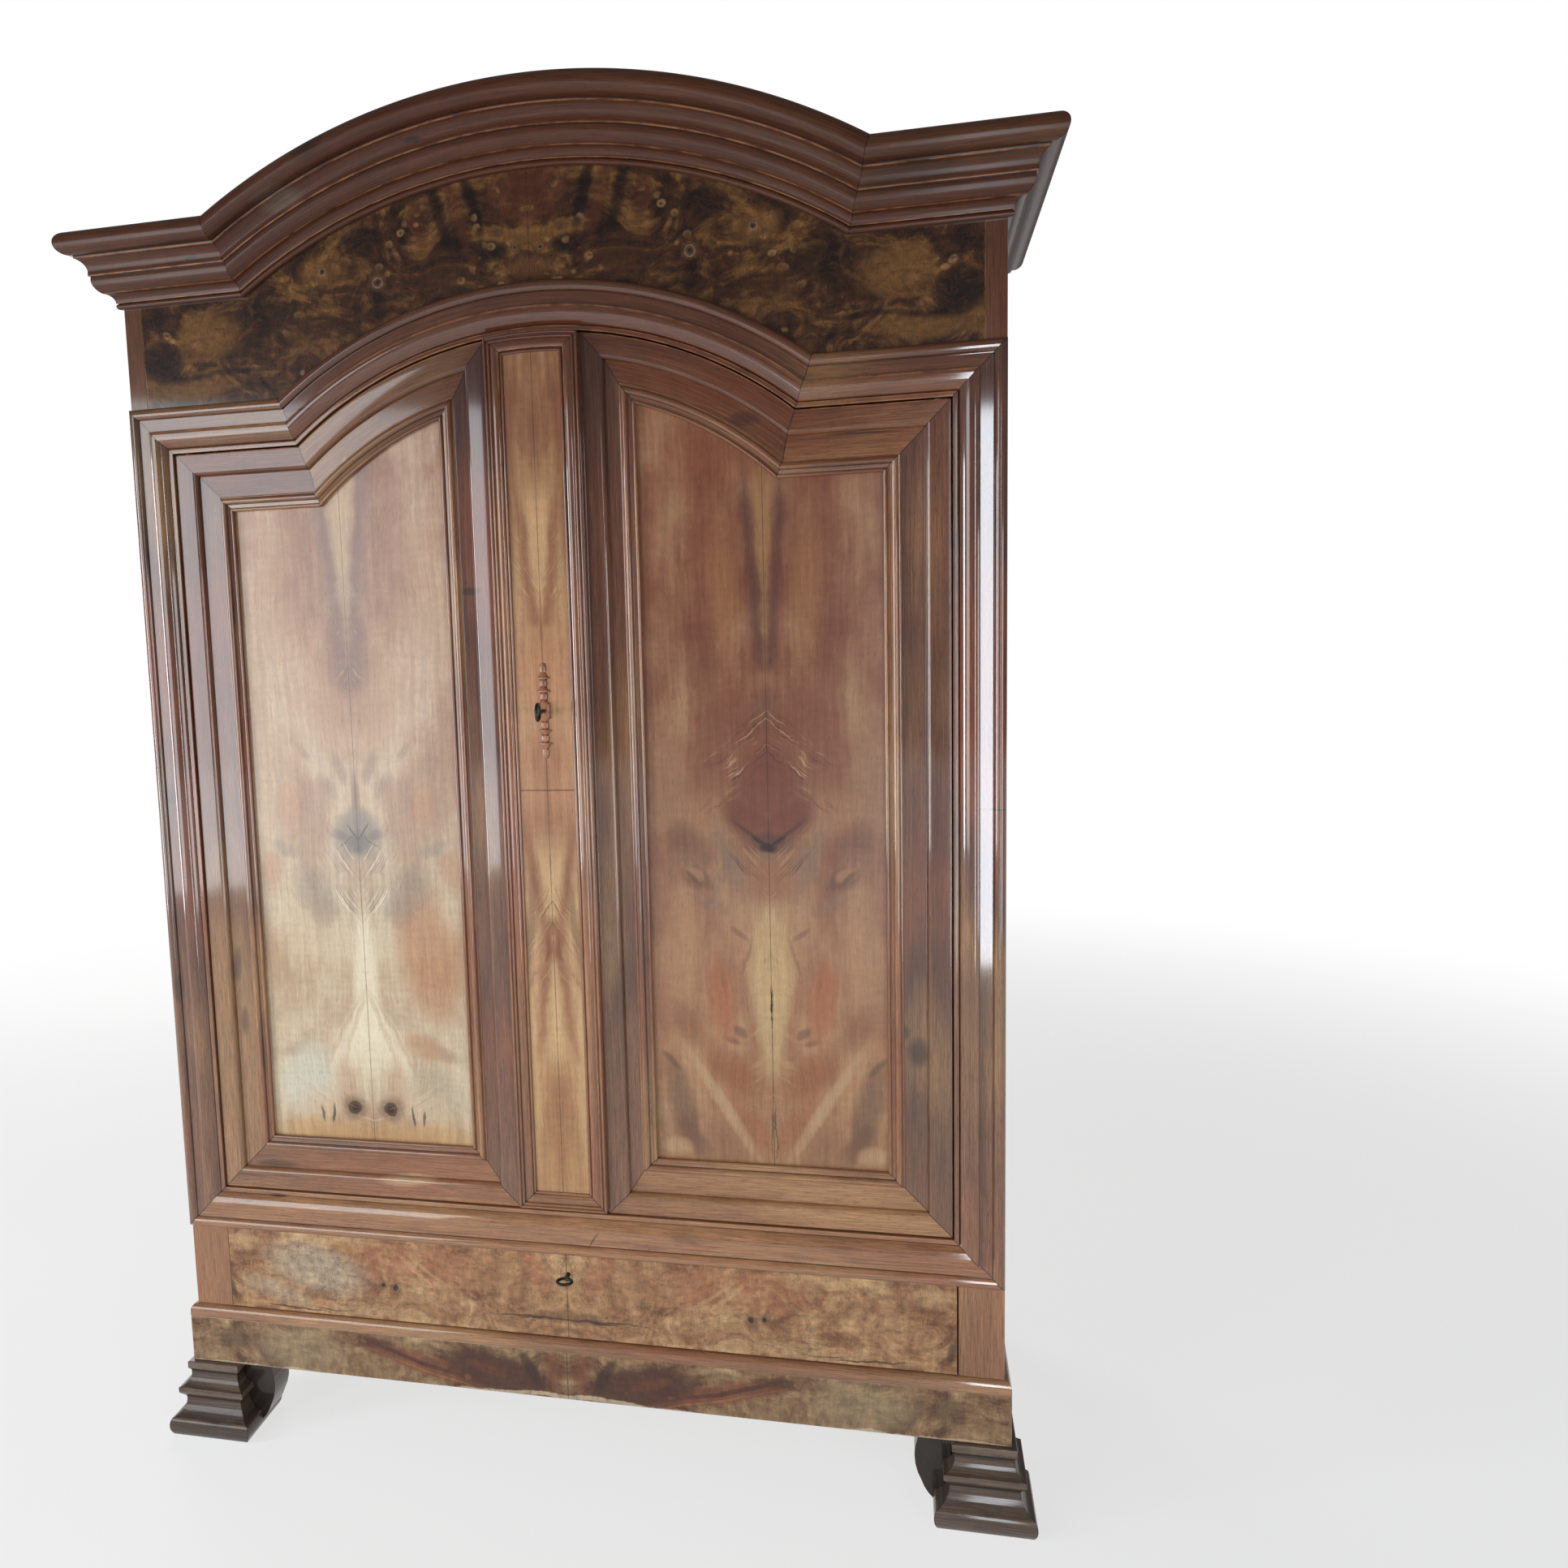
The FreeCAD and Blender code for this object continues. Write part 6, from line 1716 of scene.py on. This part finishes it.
    def sunk_section(self, width: float) -> Profile:
        """Draw the sunk flat and the groove that holds the panel.

        Args:
            width: the width of the flat.

        Returns:
            The profile.
        """
        back = self.proud - self.thickness
        groove = -self.sunk - self.panel_setback
        floor = width - self.groove_depth
        return Profile((0.0, back), (0.0, -self.sunk), (width, -self.sunk), (width, groove), (floor, groove),
                       (floor, groove - self.panel), (width, groove - self.panel), (width, back), ease=0.0004)

    def build_frame(self, finishes: Finishes) -> None:
        """Build stiles and rails, each from a raised band and a sunk flat.

        Args:
            finishes: the finishes of the wardrobe.
        """
        edge, foot, sight = self.edge_ring(0.0), self.edge_ring(self.band + self.step), self.ring(0.0)
        widths = {"outer": self.outer_stile, "inner": self.inner_stile, "low": self.rail, "high": self.rail,
                  "arch": self.arch_rail}
        groups = {"stiles": ("outer", "inner"), "rails": ("low", "high", "arch")}
        for name, pieces in groups.items():
            shape = Shape()
            for number, piece in enumerate(pieces):
                seed = 40.0 + 5.3 * self.side.value + number * 1.7 + len(name) * 0.9
                self.length(piece, self.band_section(), edge, foot, shape, 0.0, seed)
                flat = self.sunk_section(widths[piece] - self.band - self.step)
                self.length(piece, flat, foot, sight, shape, 0.0, seed + 0.021)
            node = "door_" + self.key + "_" + name
            finish = finishes.stile if name == "stiles" else finishes.frame
            settle(shape.mesh(node + "_framed", finish), self.body, "walnut_frame", node)

    def build(self, finishes: Finishes) -> None:
        """Build the door."""
        self.build_frame(finishes)
        self.build_moulding(finishes)


@dataclass
class Pilaster:
    """The pilaster's four mitred mouldings, on the right door."""

    half: float = 0.072
    lift: float = 0.005
    face: float = -0.01
    fine_bead: float = 0.004
    groove: float = 0.002
    inner_bead: float = 0.0035
    band: float = 0.013
    top: float = 0.009
    low: float = 0.006
    band_height: float = 0.0075
    panel: float = 0.003
    overrun: float = 0.02
    side_run: float = 1.45
    bottom_start: float = 0.1
    half_sweep: float = 0.2

    @property
    def width(self) -> float:
        """Give the width of the moulding."""
        return 2 * self.fine_bead + 2 * self.groove + self.inner_bead + self.band

    def section(self) -> Profile:
        """Draw the section from the outer edge inwards.

        Returns:
            The profile.
        """
        t1 = self.fine_bead
        t2 = t1 + self.groove
        t3 = t2 + self.inner_bead
        t4 = t3 + self.band
        t5 = t4 + self.groove
        t6 = t5 + self.fine_bead
        return Profile((0.0, 0.0), (0.0, self.low), ((t1 / 2, self.top), (t1, self.low)), (t2, self.low),
                       (((t2 + t3) / 2, self.top), (t3, self.low)),
                       (((t3 + t4) / 2, self.band_height), (t4, self.low)), (t5, self.panel),
                       (((t5 + t6) / 2, self.low), (t6, self.panel)), (t6, 0.0), ease=0.0004)

    def build(self, finishes: Finishes) -> None:
        """Build the mouldings.

        Args:
            finishes: the finishes of the wardrobe.
        """
        lv = LEVELS
        edge = lv.surround_width + lv.door_gap
        bottom = lv.surround_bottom + edge + self.lift
        radius = lv.surround_radius - edge
        w = self.width
        low, low_in = (self.half, bottom), (self.half - w, bottom + w)
        high = (self.half, lv.arch_z(radius, self.half))
        high_in = (self.half - w, lv.arch_z(radius - w, self.half - w))
        section = self.section()
        middle = (self.half, (bottom + high[1]) / 2)
        shape = Shape()
        start = elevation(self.half, bottom - self.overrun, self.face)
        run = Run(section, start, -RIGHT, OUT, UP, self.side_run)
        run.add(shape, [mitre(low, low_in, middle), mitre(high, high_in, middle)], 31.0)
        shape.mirror_copy()
        start = elevation(-self.bottom_start, bottom, self.face)
        run = Run(section, start, UP, OUT, RIGHT, 2 * self.bottom_start)
        run.add(shape, [mitre(low, low_in, (0, bottom)), mitre(flip(low), flip(low_in), (0, bottom))], 33.0)
        start = elevation(0, lv.arch_centre + radius, self.face)
        run = Run(section, start, -UP, OUT, RIGHT, sweep=self.half_sweep, steps=32)
        crown = (0.0, lv.arch_centre + radius)
        run.add(shape, [mitre(high, high_in, crown), mitre(flip(high), flip(high_in), crown)], 34.0)
        settle(shape.mesh("pilaster_moulding_fine", finishes.moulding), "right_door", "walnut_moulding",
               "pilaster_moulding")


@dataclass
class FrontFoot:
    """A moulded block foot with a curved bracket at its inner end."""

    side: Side
    height: float = 0.124
    width: float = 0.078
    fillet_out: float = 0.018
    fillet: float = 0.012
    neck_out: float = 0.014
    neck: float = 0.012
    flare_out: float = 0.031
    flare: float = 0.018
    band: float = 0.009
    step_out: float = 0.022
    step: float = 0.01
    toe_out: float = 0.042
    toe_flare: float = 0.033
    toe_round: float = 0.01
    bracket_reach: float = 0.054
    bracket_heel: float = 0.042
    bracket_setback: float = 0.008
    bracket_thickness: float = 0.052
    bracket_shoulder: float = 0.02
    bracket_bulge: float = 0.01
    bow_share: float = 0.3
    lead: float = 0.06
    block_run: float = 0.2
    bracket_lead: float = 0.01

    def section(self, core: float) -> Profile:
        """Draw the moulded edge, with across upwards and proud outwards.

        Args:
            core: how far behind the block's face the section is closed.

        Returns:
            The profile.
        """
        z1 = self.height - self.fillet
        z2 = z1 - self.neck
        z3 = z2 - self.flare
        z4 = z3 - self.band
        z5 = z4 - self.step
        z6 = z5 - self.toe_flare
        bow = self.bow_share
        flare_via = (z2 - self.flare * (1 - bow), self.neck_out + (self.flare_out - self.neck_out) * bow)
        toe_via = (z5 - self.toe_flare * (1 - bow), self.step_out + (self.toe_out - self.step_out) * bow)
        tip_via = (z6 / 2, self.toe_out + self.toe_round * bow)
        return Profile((0.0, -core), (self.height, -core), (self.height, self.fillet_out),
                       (z1, self.fillet_out), (z1 - (self.fillet_out - self.neck_out), self.neck_out),
                       (z2, self.neck_out),
                       (flare_via, (z3, self.flare_out)), (z4, self.flare_out), (z5, self.step_out),
                       (toe_via, (z6, self.toe_out)), (tip_via, (0.0, self.toe_out - self.toe_round * bow)),
                       ease=0.0016, arc_step=8.0)

    def build(self, finishes: Finishes) -> None:
        """Build the block from three mitred runs, and the bracket.

        Args:
            finishes: the finishes of the wardrobe.
        """
        lv = LEVELS
        sign = self.side.value
        middle = self.width / 2
        outer_x = lv.half_body
        inner_x = lv.half_body - self.width + self.fillet_out
        corner = Vector((sign * outer_x, lv.front, 0))
        near = Vector((sign * inner_x, lv.front, 0))
        beyond_outer, beyond_inner = Vector((sign, 1, 0)), Vector((-sign, 1, 0))
        rear = (Vector((0, lv.front + self.width, 0)), BACK)
        shape = Shape()
        section = self.section(middle)
        start = Vector((sign * (inner_x - self.lead), lv.front, 0))
        run = Run(section, start, UP, OUT, RIGHT * sign, self.block_run)
        run.add(shape, [(corner, beyond_outer), (near, beyond_inner)], 50.3 + sign)
        start = Vector((sign * outer_x, lv.front - self.lead, 0))
        run = Run(section, start, UP, RIGHT * sign, BACK, self.block_run)
        run.add(shape, [(corner, -beyond_outer), rear], 52.1 + sign)
        start = Vector((sign * inner_x, lv.front - self.lead, 0))
        run = Run(self.section(middle - self.fillet_out), start, UP, RIGHT * -sign, BACK, self.block_run)
        run.add(shape, [(near, -beyond_inner), rear], 53.9 + sign)
        face = lv.half_body - self.width
        tip = face - self.bracket_reach
        shoulder = self.height - self.bracket_shoulder
        heel, bulge = self.bracket_heel, self.bracket_bulge
        bracket = Profile((face, self.height), (tip + bulge, self.height),
                          ((tip, (shoulder + heel) / 2), (tip + bulge, heel)),
                          ((face - self.bracket_reach / 2, bulge * 1.5), (face, 0.0)), ease=0.001)
        start = Vector((0, lv.front + self.bracket_setback - self.bracket_lead, 0))
        front_cut = (Vector((0, lv.front + self.bracket_setback, 0)), OUT)
        rear_cut = (Vector((0, lv.front + self.bracket_setback + self.bracket_thickness, 0)), BACK)
        run = Run(bracket, start, RIGHT * sign, UP, BACK, self.bracket_thickness + 2 * self.bracket_lead)
        run.add(shape, [front_cut, rear_cut], 55.2 + sign)
        node = "front_foot_" + self.side.name.lower()
        settle(shape.mesh(node + "_moulded", finishes.foot), "carcass", "walnut_frame", node)


def lathe(shape: Shape, points: Sequence[Pair], centre: Vector, axis: Vector) -> None:
    """Turn a line of (radius, along) points round an axis.

    Args:
        shape: the mesh that it joins.
        points: radii and places along the axis.
        centre: where the axis starts.
        axis: the way of the axis.
    """
    side = axis.orthogonal().normalized()
    verts = [shape.bm.verts.new(centre + side * radius + axis * along) for radius, along in points]
    edges = [shape.bm.edges.new(pair) for pair in zip(verts[:-1], verts[1:])]
    bmesh.ops.spin(shape.bm, geom=verts + edges, cent=centre, axis=axis, angle=math.tau, steps=LATHE_SIDES,
                   use_merge=True)
    bmesh.ops.remove_doubles(shape.bm, verts=shape.bm.verts, dist=TOUCH)


@dataclass
class Escutcheon:
    """The carved keyhole rosette: a split turning of knobs, bulbs and pointed collars."""

    level: float = 1.249
    face: float = -0.013
    half_length: float = 0.073
    half_width: float = 0.011
    relief: float = 0.006
    plate_half: float = 0.0125
    plate_relief: float = 0.0044
    steps: int = 28
    seed: float = 61.0

    def shares(self) -> list[object]:
        """Give the outline from the middle to the top, as shares of half length and half width.

        Returns:
            The points and arcs.
        """
        return [(0.12, 0.91), (0.15, 1.0),
                ((0.185, 0.62), (0.245, 0.44)), ((0.305, 0.6), (0.365, 0.46)), ((0.385, 0.66), (0.4, 1.0)),
                (0.42, 1.0),
                ((0.455, 0.64), (0.52, 0.42)), ((0.58, 0.58), (0.64, 0.44)), ((0.66, 0.66), (0.675, 1.0)),
                (0.695, 1.0),
                ((0.735, 0.6), (0.8, 0.38)), ((0.87, 0.5), (0.94, 0.44)), ((0.985, 0.36), (1.0, 0.02))]

    def build(self, finishes: Finishes) -> None:
        """Build the turned half and the flat round the keyhole.

        Args:
            finishes: the finishes of the wardrobe.
        """
        top = Profile((0.0, 0.91), *self.shares(), ease=0.006, arc_step=14.0).points
        half = sorted(((min(abs(a), 1.0), b) for a, b, _ in top), key=lambda pair: pair[0])
        line = [(-a, b) for a, b in reversed(half)] + half
        shape = Shape()
        centre = elevation(0, self.level, self.face)
        verts = [shape.bm.verts.new(centre + RIGHT * width * self.half_width + UP * along * self.half_length)
                 for along, width in line]
        edges = [shape.bm.edges.new(pair) for pair in zip(verts[:-1], verts[1:])]
        bmesh.ops.spin(shape.bm, geom=verts + edges, cent=centre, axis=-UP, angle=math.pi, steps=self.steps)
        bmesh.ops.remove_doubles(shape.bm, verts=shape.bm.verts, dist=1e-5)
        bmesh.ops.scale(shape.bm, verts=shape.bm.verts, vec=(1, self.relief / self.half_width, 1),
                        space=Matrix.Translation(-centre))
        limit = centre.y - self.plate_relief
        for vert in shape.bm.verts:
            if abs(vert.co.z - self.level) < self.plate_half and vert.co.y < limit:
                vert.co.y = limit
            out = centre.y - vert.co.y
            # The proudest parts get wear 1; the parts that sink to the door get -1, which paints shade at the
            # carving's foot.
            vert[shape.wear] = 1.0 if out > 0.8 * self.relief else -1.0 if out < 0.1 * self.relief else 0.0
            vert[shape.grain] = (vert.co.z + self.seed, vert.co.x + self.seed, vert.co.y + self.seed)
        rim = [e for e in shape.bm.edges if e.is_boundary]
        bmesh.ops.contextual_create(shape.bm, geom=rim)
        settle(shape.mesh("escutcheon_turned", finishes.carving, 40.0), "right_door", "carved_walnut",
               "escutcheon")


@dataclass
class Key:
    """A blackened key: its ring, collars, shank and bit."""

    name: str
    body: str
    height: float
    reach: float
    tip: float
    upright: bool
    radius: float = 0.003
    collar: float = 0.0042
    bow_half: float = 0.014
    bow_length: float = 0.024
    bar: float = 0.0023
    bit_length: float = 0.009
    bit_width: float = 0.006
    bit_thickness: float = 0.003

    def build(self, finishes: Finishes) -> None:
        """Build the key.

        Args:
            finishes: the finishes of the wardrobe.
        """
        lv = LEVELS
        shape = Shape()
        axis = Vector((0, lv.front, self.height))
        r, c = self.radius, self.collar
        front = -self.reach
        turned = [(0.0, front - 0.001), (r * 0.8, front - 0.0008), (c, front + 0.0004), (c, front + 0.0016),
                  (r * 0.9, front + 0.0022), (r * 0.9, front + 0.0028), (c * 0.93, front + 0.0034),
                  (c * 0.93, front + 0.0044), (r, front + 0.005), (r, self.tip - 0.0006),
                  (r - 0.0006, self.tip), (0.0, self.tip)]
        lathe(shape, turned, axis, BACK)
        bow_centre = axis - BACK * (self.reach + self.bow_length / 2 - self.bar)
        ring_radius = self.bow_length / 2 - self.bar
        made = bmesh.ops.create_circle(shape.bm, segments=16, radius=self.bar)["verts"]
        up = UP if self.upright else RIGHT
        side = RIGHT if self.upright else UP
        turn = Matrix((side, -BACK, up)).transposed()
        bmesh.ops.rotate(shape.bm, verts=made, cent=(0, 0, 0), matrix=turn)
        bmesh.ops.translate(shape.bm, verts=made, vec=bow_centre - BACK * ring_radius)
        edges = list({e for v in made for e in v.link_edges})
        known = set(shape.bm.verts) - set(made)
        bmesh.ops.spin(shape.bm, geom=list(made) + edges, cent=bow_centre, axis=side, angle=math.tau,
                       steps=56, use_merge=True)
        ring = [v for v in shape.bm.verts if v not in known]
        stretch = Matrix.Identity(4)
        room = Matrix.Translation(-bow_centre)
        factor = (self.bow_half - self.bar) / ring_radius
        row = 2 if self.upright else 0
        stretch[row][row] = factor
        bmesh.ops.transform(shape.bm, matrix=stretch, space=room, verts=ring)
        bit = bmesh.ops.create_cube(shape.bm, size=1.0)["verts"]
        bmesh.ops.scale(shape.bm, verts=bit, vec=(self.bit_thickness, self.bit_width, self.bit_length))
        bmesh.ops.translate(shape.bm, verts=bit,
                            vec=axis + BACK * (self.tip - self.bit_width / 2) - UP * self.bit_length / 2)
        bit_edges = list({e for v in bit for e in v.link_edges})
        bmesh.ops.bevel(shape.bm, geom=bit_edges, offset=0.0003, segments=2, profile=0.5, affect="EDGES",
                        material=-1)
        bmesh.ops.remove_doubles(shape.bm, verts=shape.bm.verts, dist=TOUCH)
        settle(shape.mesh(self.name + "_turned", finishes.key, 50.0), self.body, "key_iron", self.name)


@dataclass
class Timbers:
    """The boards, posts and fittings that keep their CAD shape, with eased arrises."""

    wood_ease: float = 0.0008
    iron_ease: float = 0.0003

    def build(self, finishes: Finishes) -> None:
        """Build an eased copy of every CAD node that still shows.

        Args:
            finishes: the finishes of the wardrobe.
        """
        by_slot = {"walnut_moulding": finishes.moulding, "walnut_frame": finishes.frame,
                   "side_walnut": finishes.side, "carved_walnut": finishes.moulding,
                   "carcass_pine": finishes.pine, "rail_beech": finishes.beech, "dark_iron": finishes.iron,
                   "key_iron": finishes.key}
        for node, (body, slot) in node_facts().items():
            if frame["nodes"][node].hide_render:
                continue
            ease = self.iron_ease if slot in ("dark_iron", "key_iron") else self.wood_ease
            finish = finishes.veneer[node] if node in finishes.veneer else by_slot[slot]
            settle(eased_copy(node, finish, ease), body, slot, node)


# Studio

@dataclass(frozen=True)
class Lamp:
    """A soft rectangular lamp: where it hangs, what it faces, its size, watts and colour."""

    name: str
    place: tuple[float, float, float]
    target: tuple[float, float, float]
    width: float
    height: float
    power: float
    colour: Colour

    def hang(self) -> None:
        """Hang the lamp."""
        data = bpy.data.lights.new(self.name, "AREA")
        data.shape = "RECTANGLE"
        data.size, data.size_y = self.width, self.height
        data.energy = self.power
        data.color = self.colour
        lamp = bpy.data.objects.new(self.name, data)
        way = (Vector(self.target) - Vector(self.place)).to_track_quat("-Z", "Y")
        lamp.matrix_world = Matrix.Translation(self.place) @ way.to_matrix().to_4x4()
        bpy.context.scene.collection.objects.link(lamp)


LAMPS = (
    Lamp("window", (-1.95, -3.25, 1.35), (-0.1, -0.2, 1.1), 1.3, 2.0, 42.0, (0.9, 0.96, 1.0)),
    Lamp("window_left", (-3.5, -2.1, 1.2), (0.0, -0.2, 1.0), 0.8, 1.9, 84.0, (0.95, 0.98, 1.0)),
    Lamp("window_right", (2.7, -3.2, 0.9), (0.0, -0.2, 0.8), 1.4, 1.7, 40.0, (1.0, 0.99, 0.97)),
    Lamp("back_room", (-2.6, 3.2, 1.9), (0.0, 0.2, 1.0), 2.0, 2.2, 60.0, (1.0, 0.98, 0.95)),
    Lamp("window_gap", (0.845, -3.3, 1.1), (0.64, -0.2, 1.0), 0.16, 2.1, 18.0, (0.86, 0.93, 1.0)))


@dataclass
class Studio:
    """The pale floor, the soft lamps and the camera."""

    lens: float = 28.68
    sensor: float = 36.0
    shift_x: float = 0.1126
    yaw: float = 0.2299
    pitch: float = -0.1147
    roll: float = -0.0338
    eye_right: float = 0.5243
    eye_out: float = 1.848
    eye_height: float = 1.3532
    floor_reach: float = 12.0
    floor_white: float = 0.68
    room: float = 0.14
    room_colour: Colour = (0.93, 0.96, 1.0)
    glossy_share: float = 0.06

    def build(self) -> None:
        """Set up the stage."""
        self.camera()
        self.floor()
        self.world()
        for lamp in LAMPS:
            lamp.hang()

    def camera(self) -> None:
        """Place the camera where the photograph was taken."""
        data = bpy.data.cameras.new("camera")
        data.lens = self.lens
        data.sensor_width = self.sensor
        data.shift_x = self.shift_x
        camera = bpy.data.objects.new("camera", data)
        yaw, pitch, roll = self.yaw, self.pitch, self.roll
        forward = Vector((-math.sin(yaw) * math.cos(pitch), math.cos(yaw) * math.cos(pitch), math.sin(pitch)))
        level = Vector((math.cos(yaw), math.sin(yaw), 0))
        above = level.cross(forward)
        right = math.cos(roll) * level + math.sin(roll) * above
        up = -math.sin(roll) * level + math.cos(roll) * above
        turn = Matrix((right, up, -forward)).transposed().to_4x4()
        turn.translation = Vector((self.eye_right, LEVELS.front - self.eye_out, self.eye_height))
        camera.matrix_world = turn
        bpy.context.scene.collection.objects.link(camera)
        bpy.context.scene.camera = camera

    def floor(self) -> None:
        """Lay a plain pale floor that runs up to white in the distance."""
        bm = bmesh.new()
        bmesh.ops.create_grid(bm, x_segments=1, y_segments=1, size=self.floor_reach)
        data = bpy.data.meshes.new("floor")
        bm.to_mesh(data)
        bm.free()
        g = Graph(bpy.data.materials.new("pale_floor"))
        x, y, z = g.place()
        path = g.node("ShaderNodeLightPath").outputs
        seen = Value(g, path["Is Camera Ray"]).most(Value(g, path["Is Glossy Ray"]))
        seen = seen.most(Value(g, path["Is Transmission Ray"]))
        far = (x * x + y * y).rise(2.0, 20.0)
        shade = g.ramp(g.noise(x * 0.8, y * 0.8, z), [(0.3, (0.78, 0.78, 0.78)), (0.7, (0.84, 0.84, 0.84))])
        lit = g.node("ShaderNodeBsdfPrincipled", None,
                     {"Base Color": shade, "Roughness": 0.8, "Specular IOR Level": 0.2})
        white = g.node("ShaderNodeEmission", None, {"Color": (1.0, 1.0, 1.0), "Strength": 1.0})
        share = seen * (self.floor_white + far * (1 - self.floor_white))
        mixed = g.node("ShaderNodeMixShader", None, {0: share, 1: lit.outputs[0], 2: white.outputs[0]})
        g.node("ShaderNodeOutputMaterial", None, {"Surface": mixed.outputs[0]})
        data.materials.append(g.owner)
        floor = bpy.data.objects.new("floor", data)
        bpy.context.scene.collection.objects.link(floor)

    def world(self) -> None:
        """Set the even light of the room and the white that the camera sees in its place."""
        world = bpy.data.worlds.new("room")
        bpy.context.scene.world = world
        g = Graph(world)
        path = g.node("ShaderNodeLightPath").outputs
        seen = Value(g, path["Is Camera Ray"]).most(Value(g, path["Is Transmission Ray"]))
        share = Value(g, path["Is Glossy Ray"]).math("MULTIPLY_ADD", self.glossy_share, seen)
        lit = g.node("ShaderNodeBackground", None, {"Color": self.room_colour, "Strength": self.room})
        white = g.node("ShaderNodeBackground", None, {"Color": (1.0, 1.0, 1.0), "Strength": 1.0})
        mixed = g.node("ShaderNodeMixShader", None, {0: share, 1: lit.outputs[0], 2: white.outputs[0]})
        g.node("ShaderNodeOutputWorld", None, {"Surface": mixed.outputs[0]})


def main() -> None:
    """Build the wardrobe's looks and its stage."""
    logging.basicConfig(level=logging.INFO, format="%(message)s")
    scene = bpy.context.scene
    scene.view_settings.view_transform = "Standard"
    Studio().build()
    finishes = Finishes()
    Cornice().build(finishes)
    Surround().build(finishes)
    Door(Side.LEFT, inner=0.074).build(finishes)
    Door(Side.RIGHT, inner=0.072).build(finishes)
    Pilaster().build(finishes)
    for side in Side:
        FrontFoot(side).build(finishes)
    Escutcheon().build(finishes)
    Key("door_key", "door_key", 1.249, 0.04, 0.0365, upright=True).build(finishes)
    Key("drawer_key", "drawer_key", 0.337, 0.017, 0.0295, upright=False).build(finishes)
    Timbers().build(finishes)


if __name__ == "__main__":
    main()
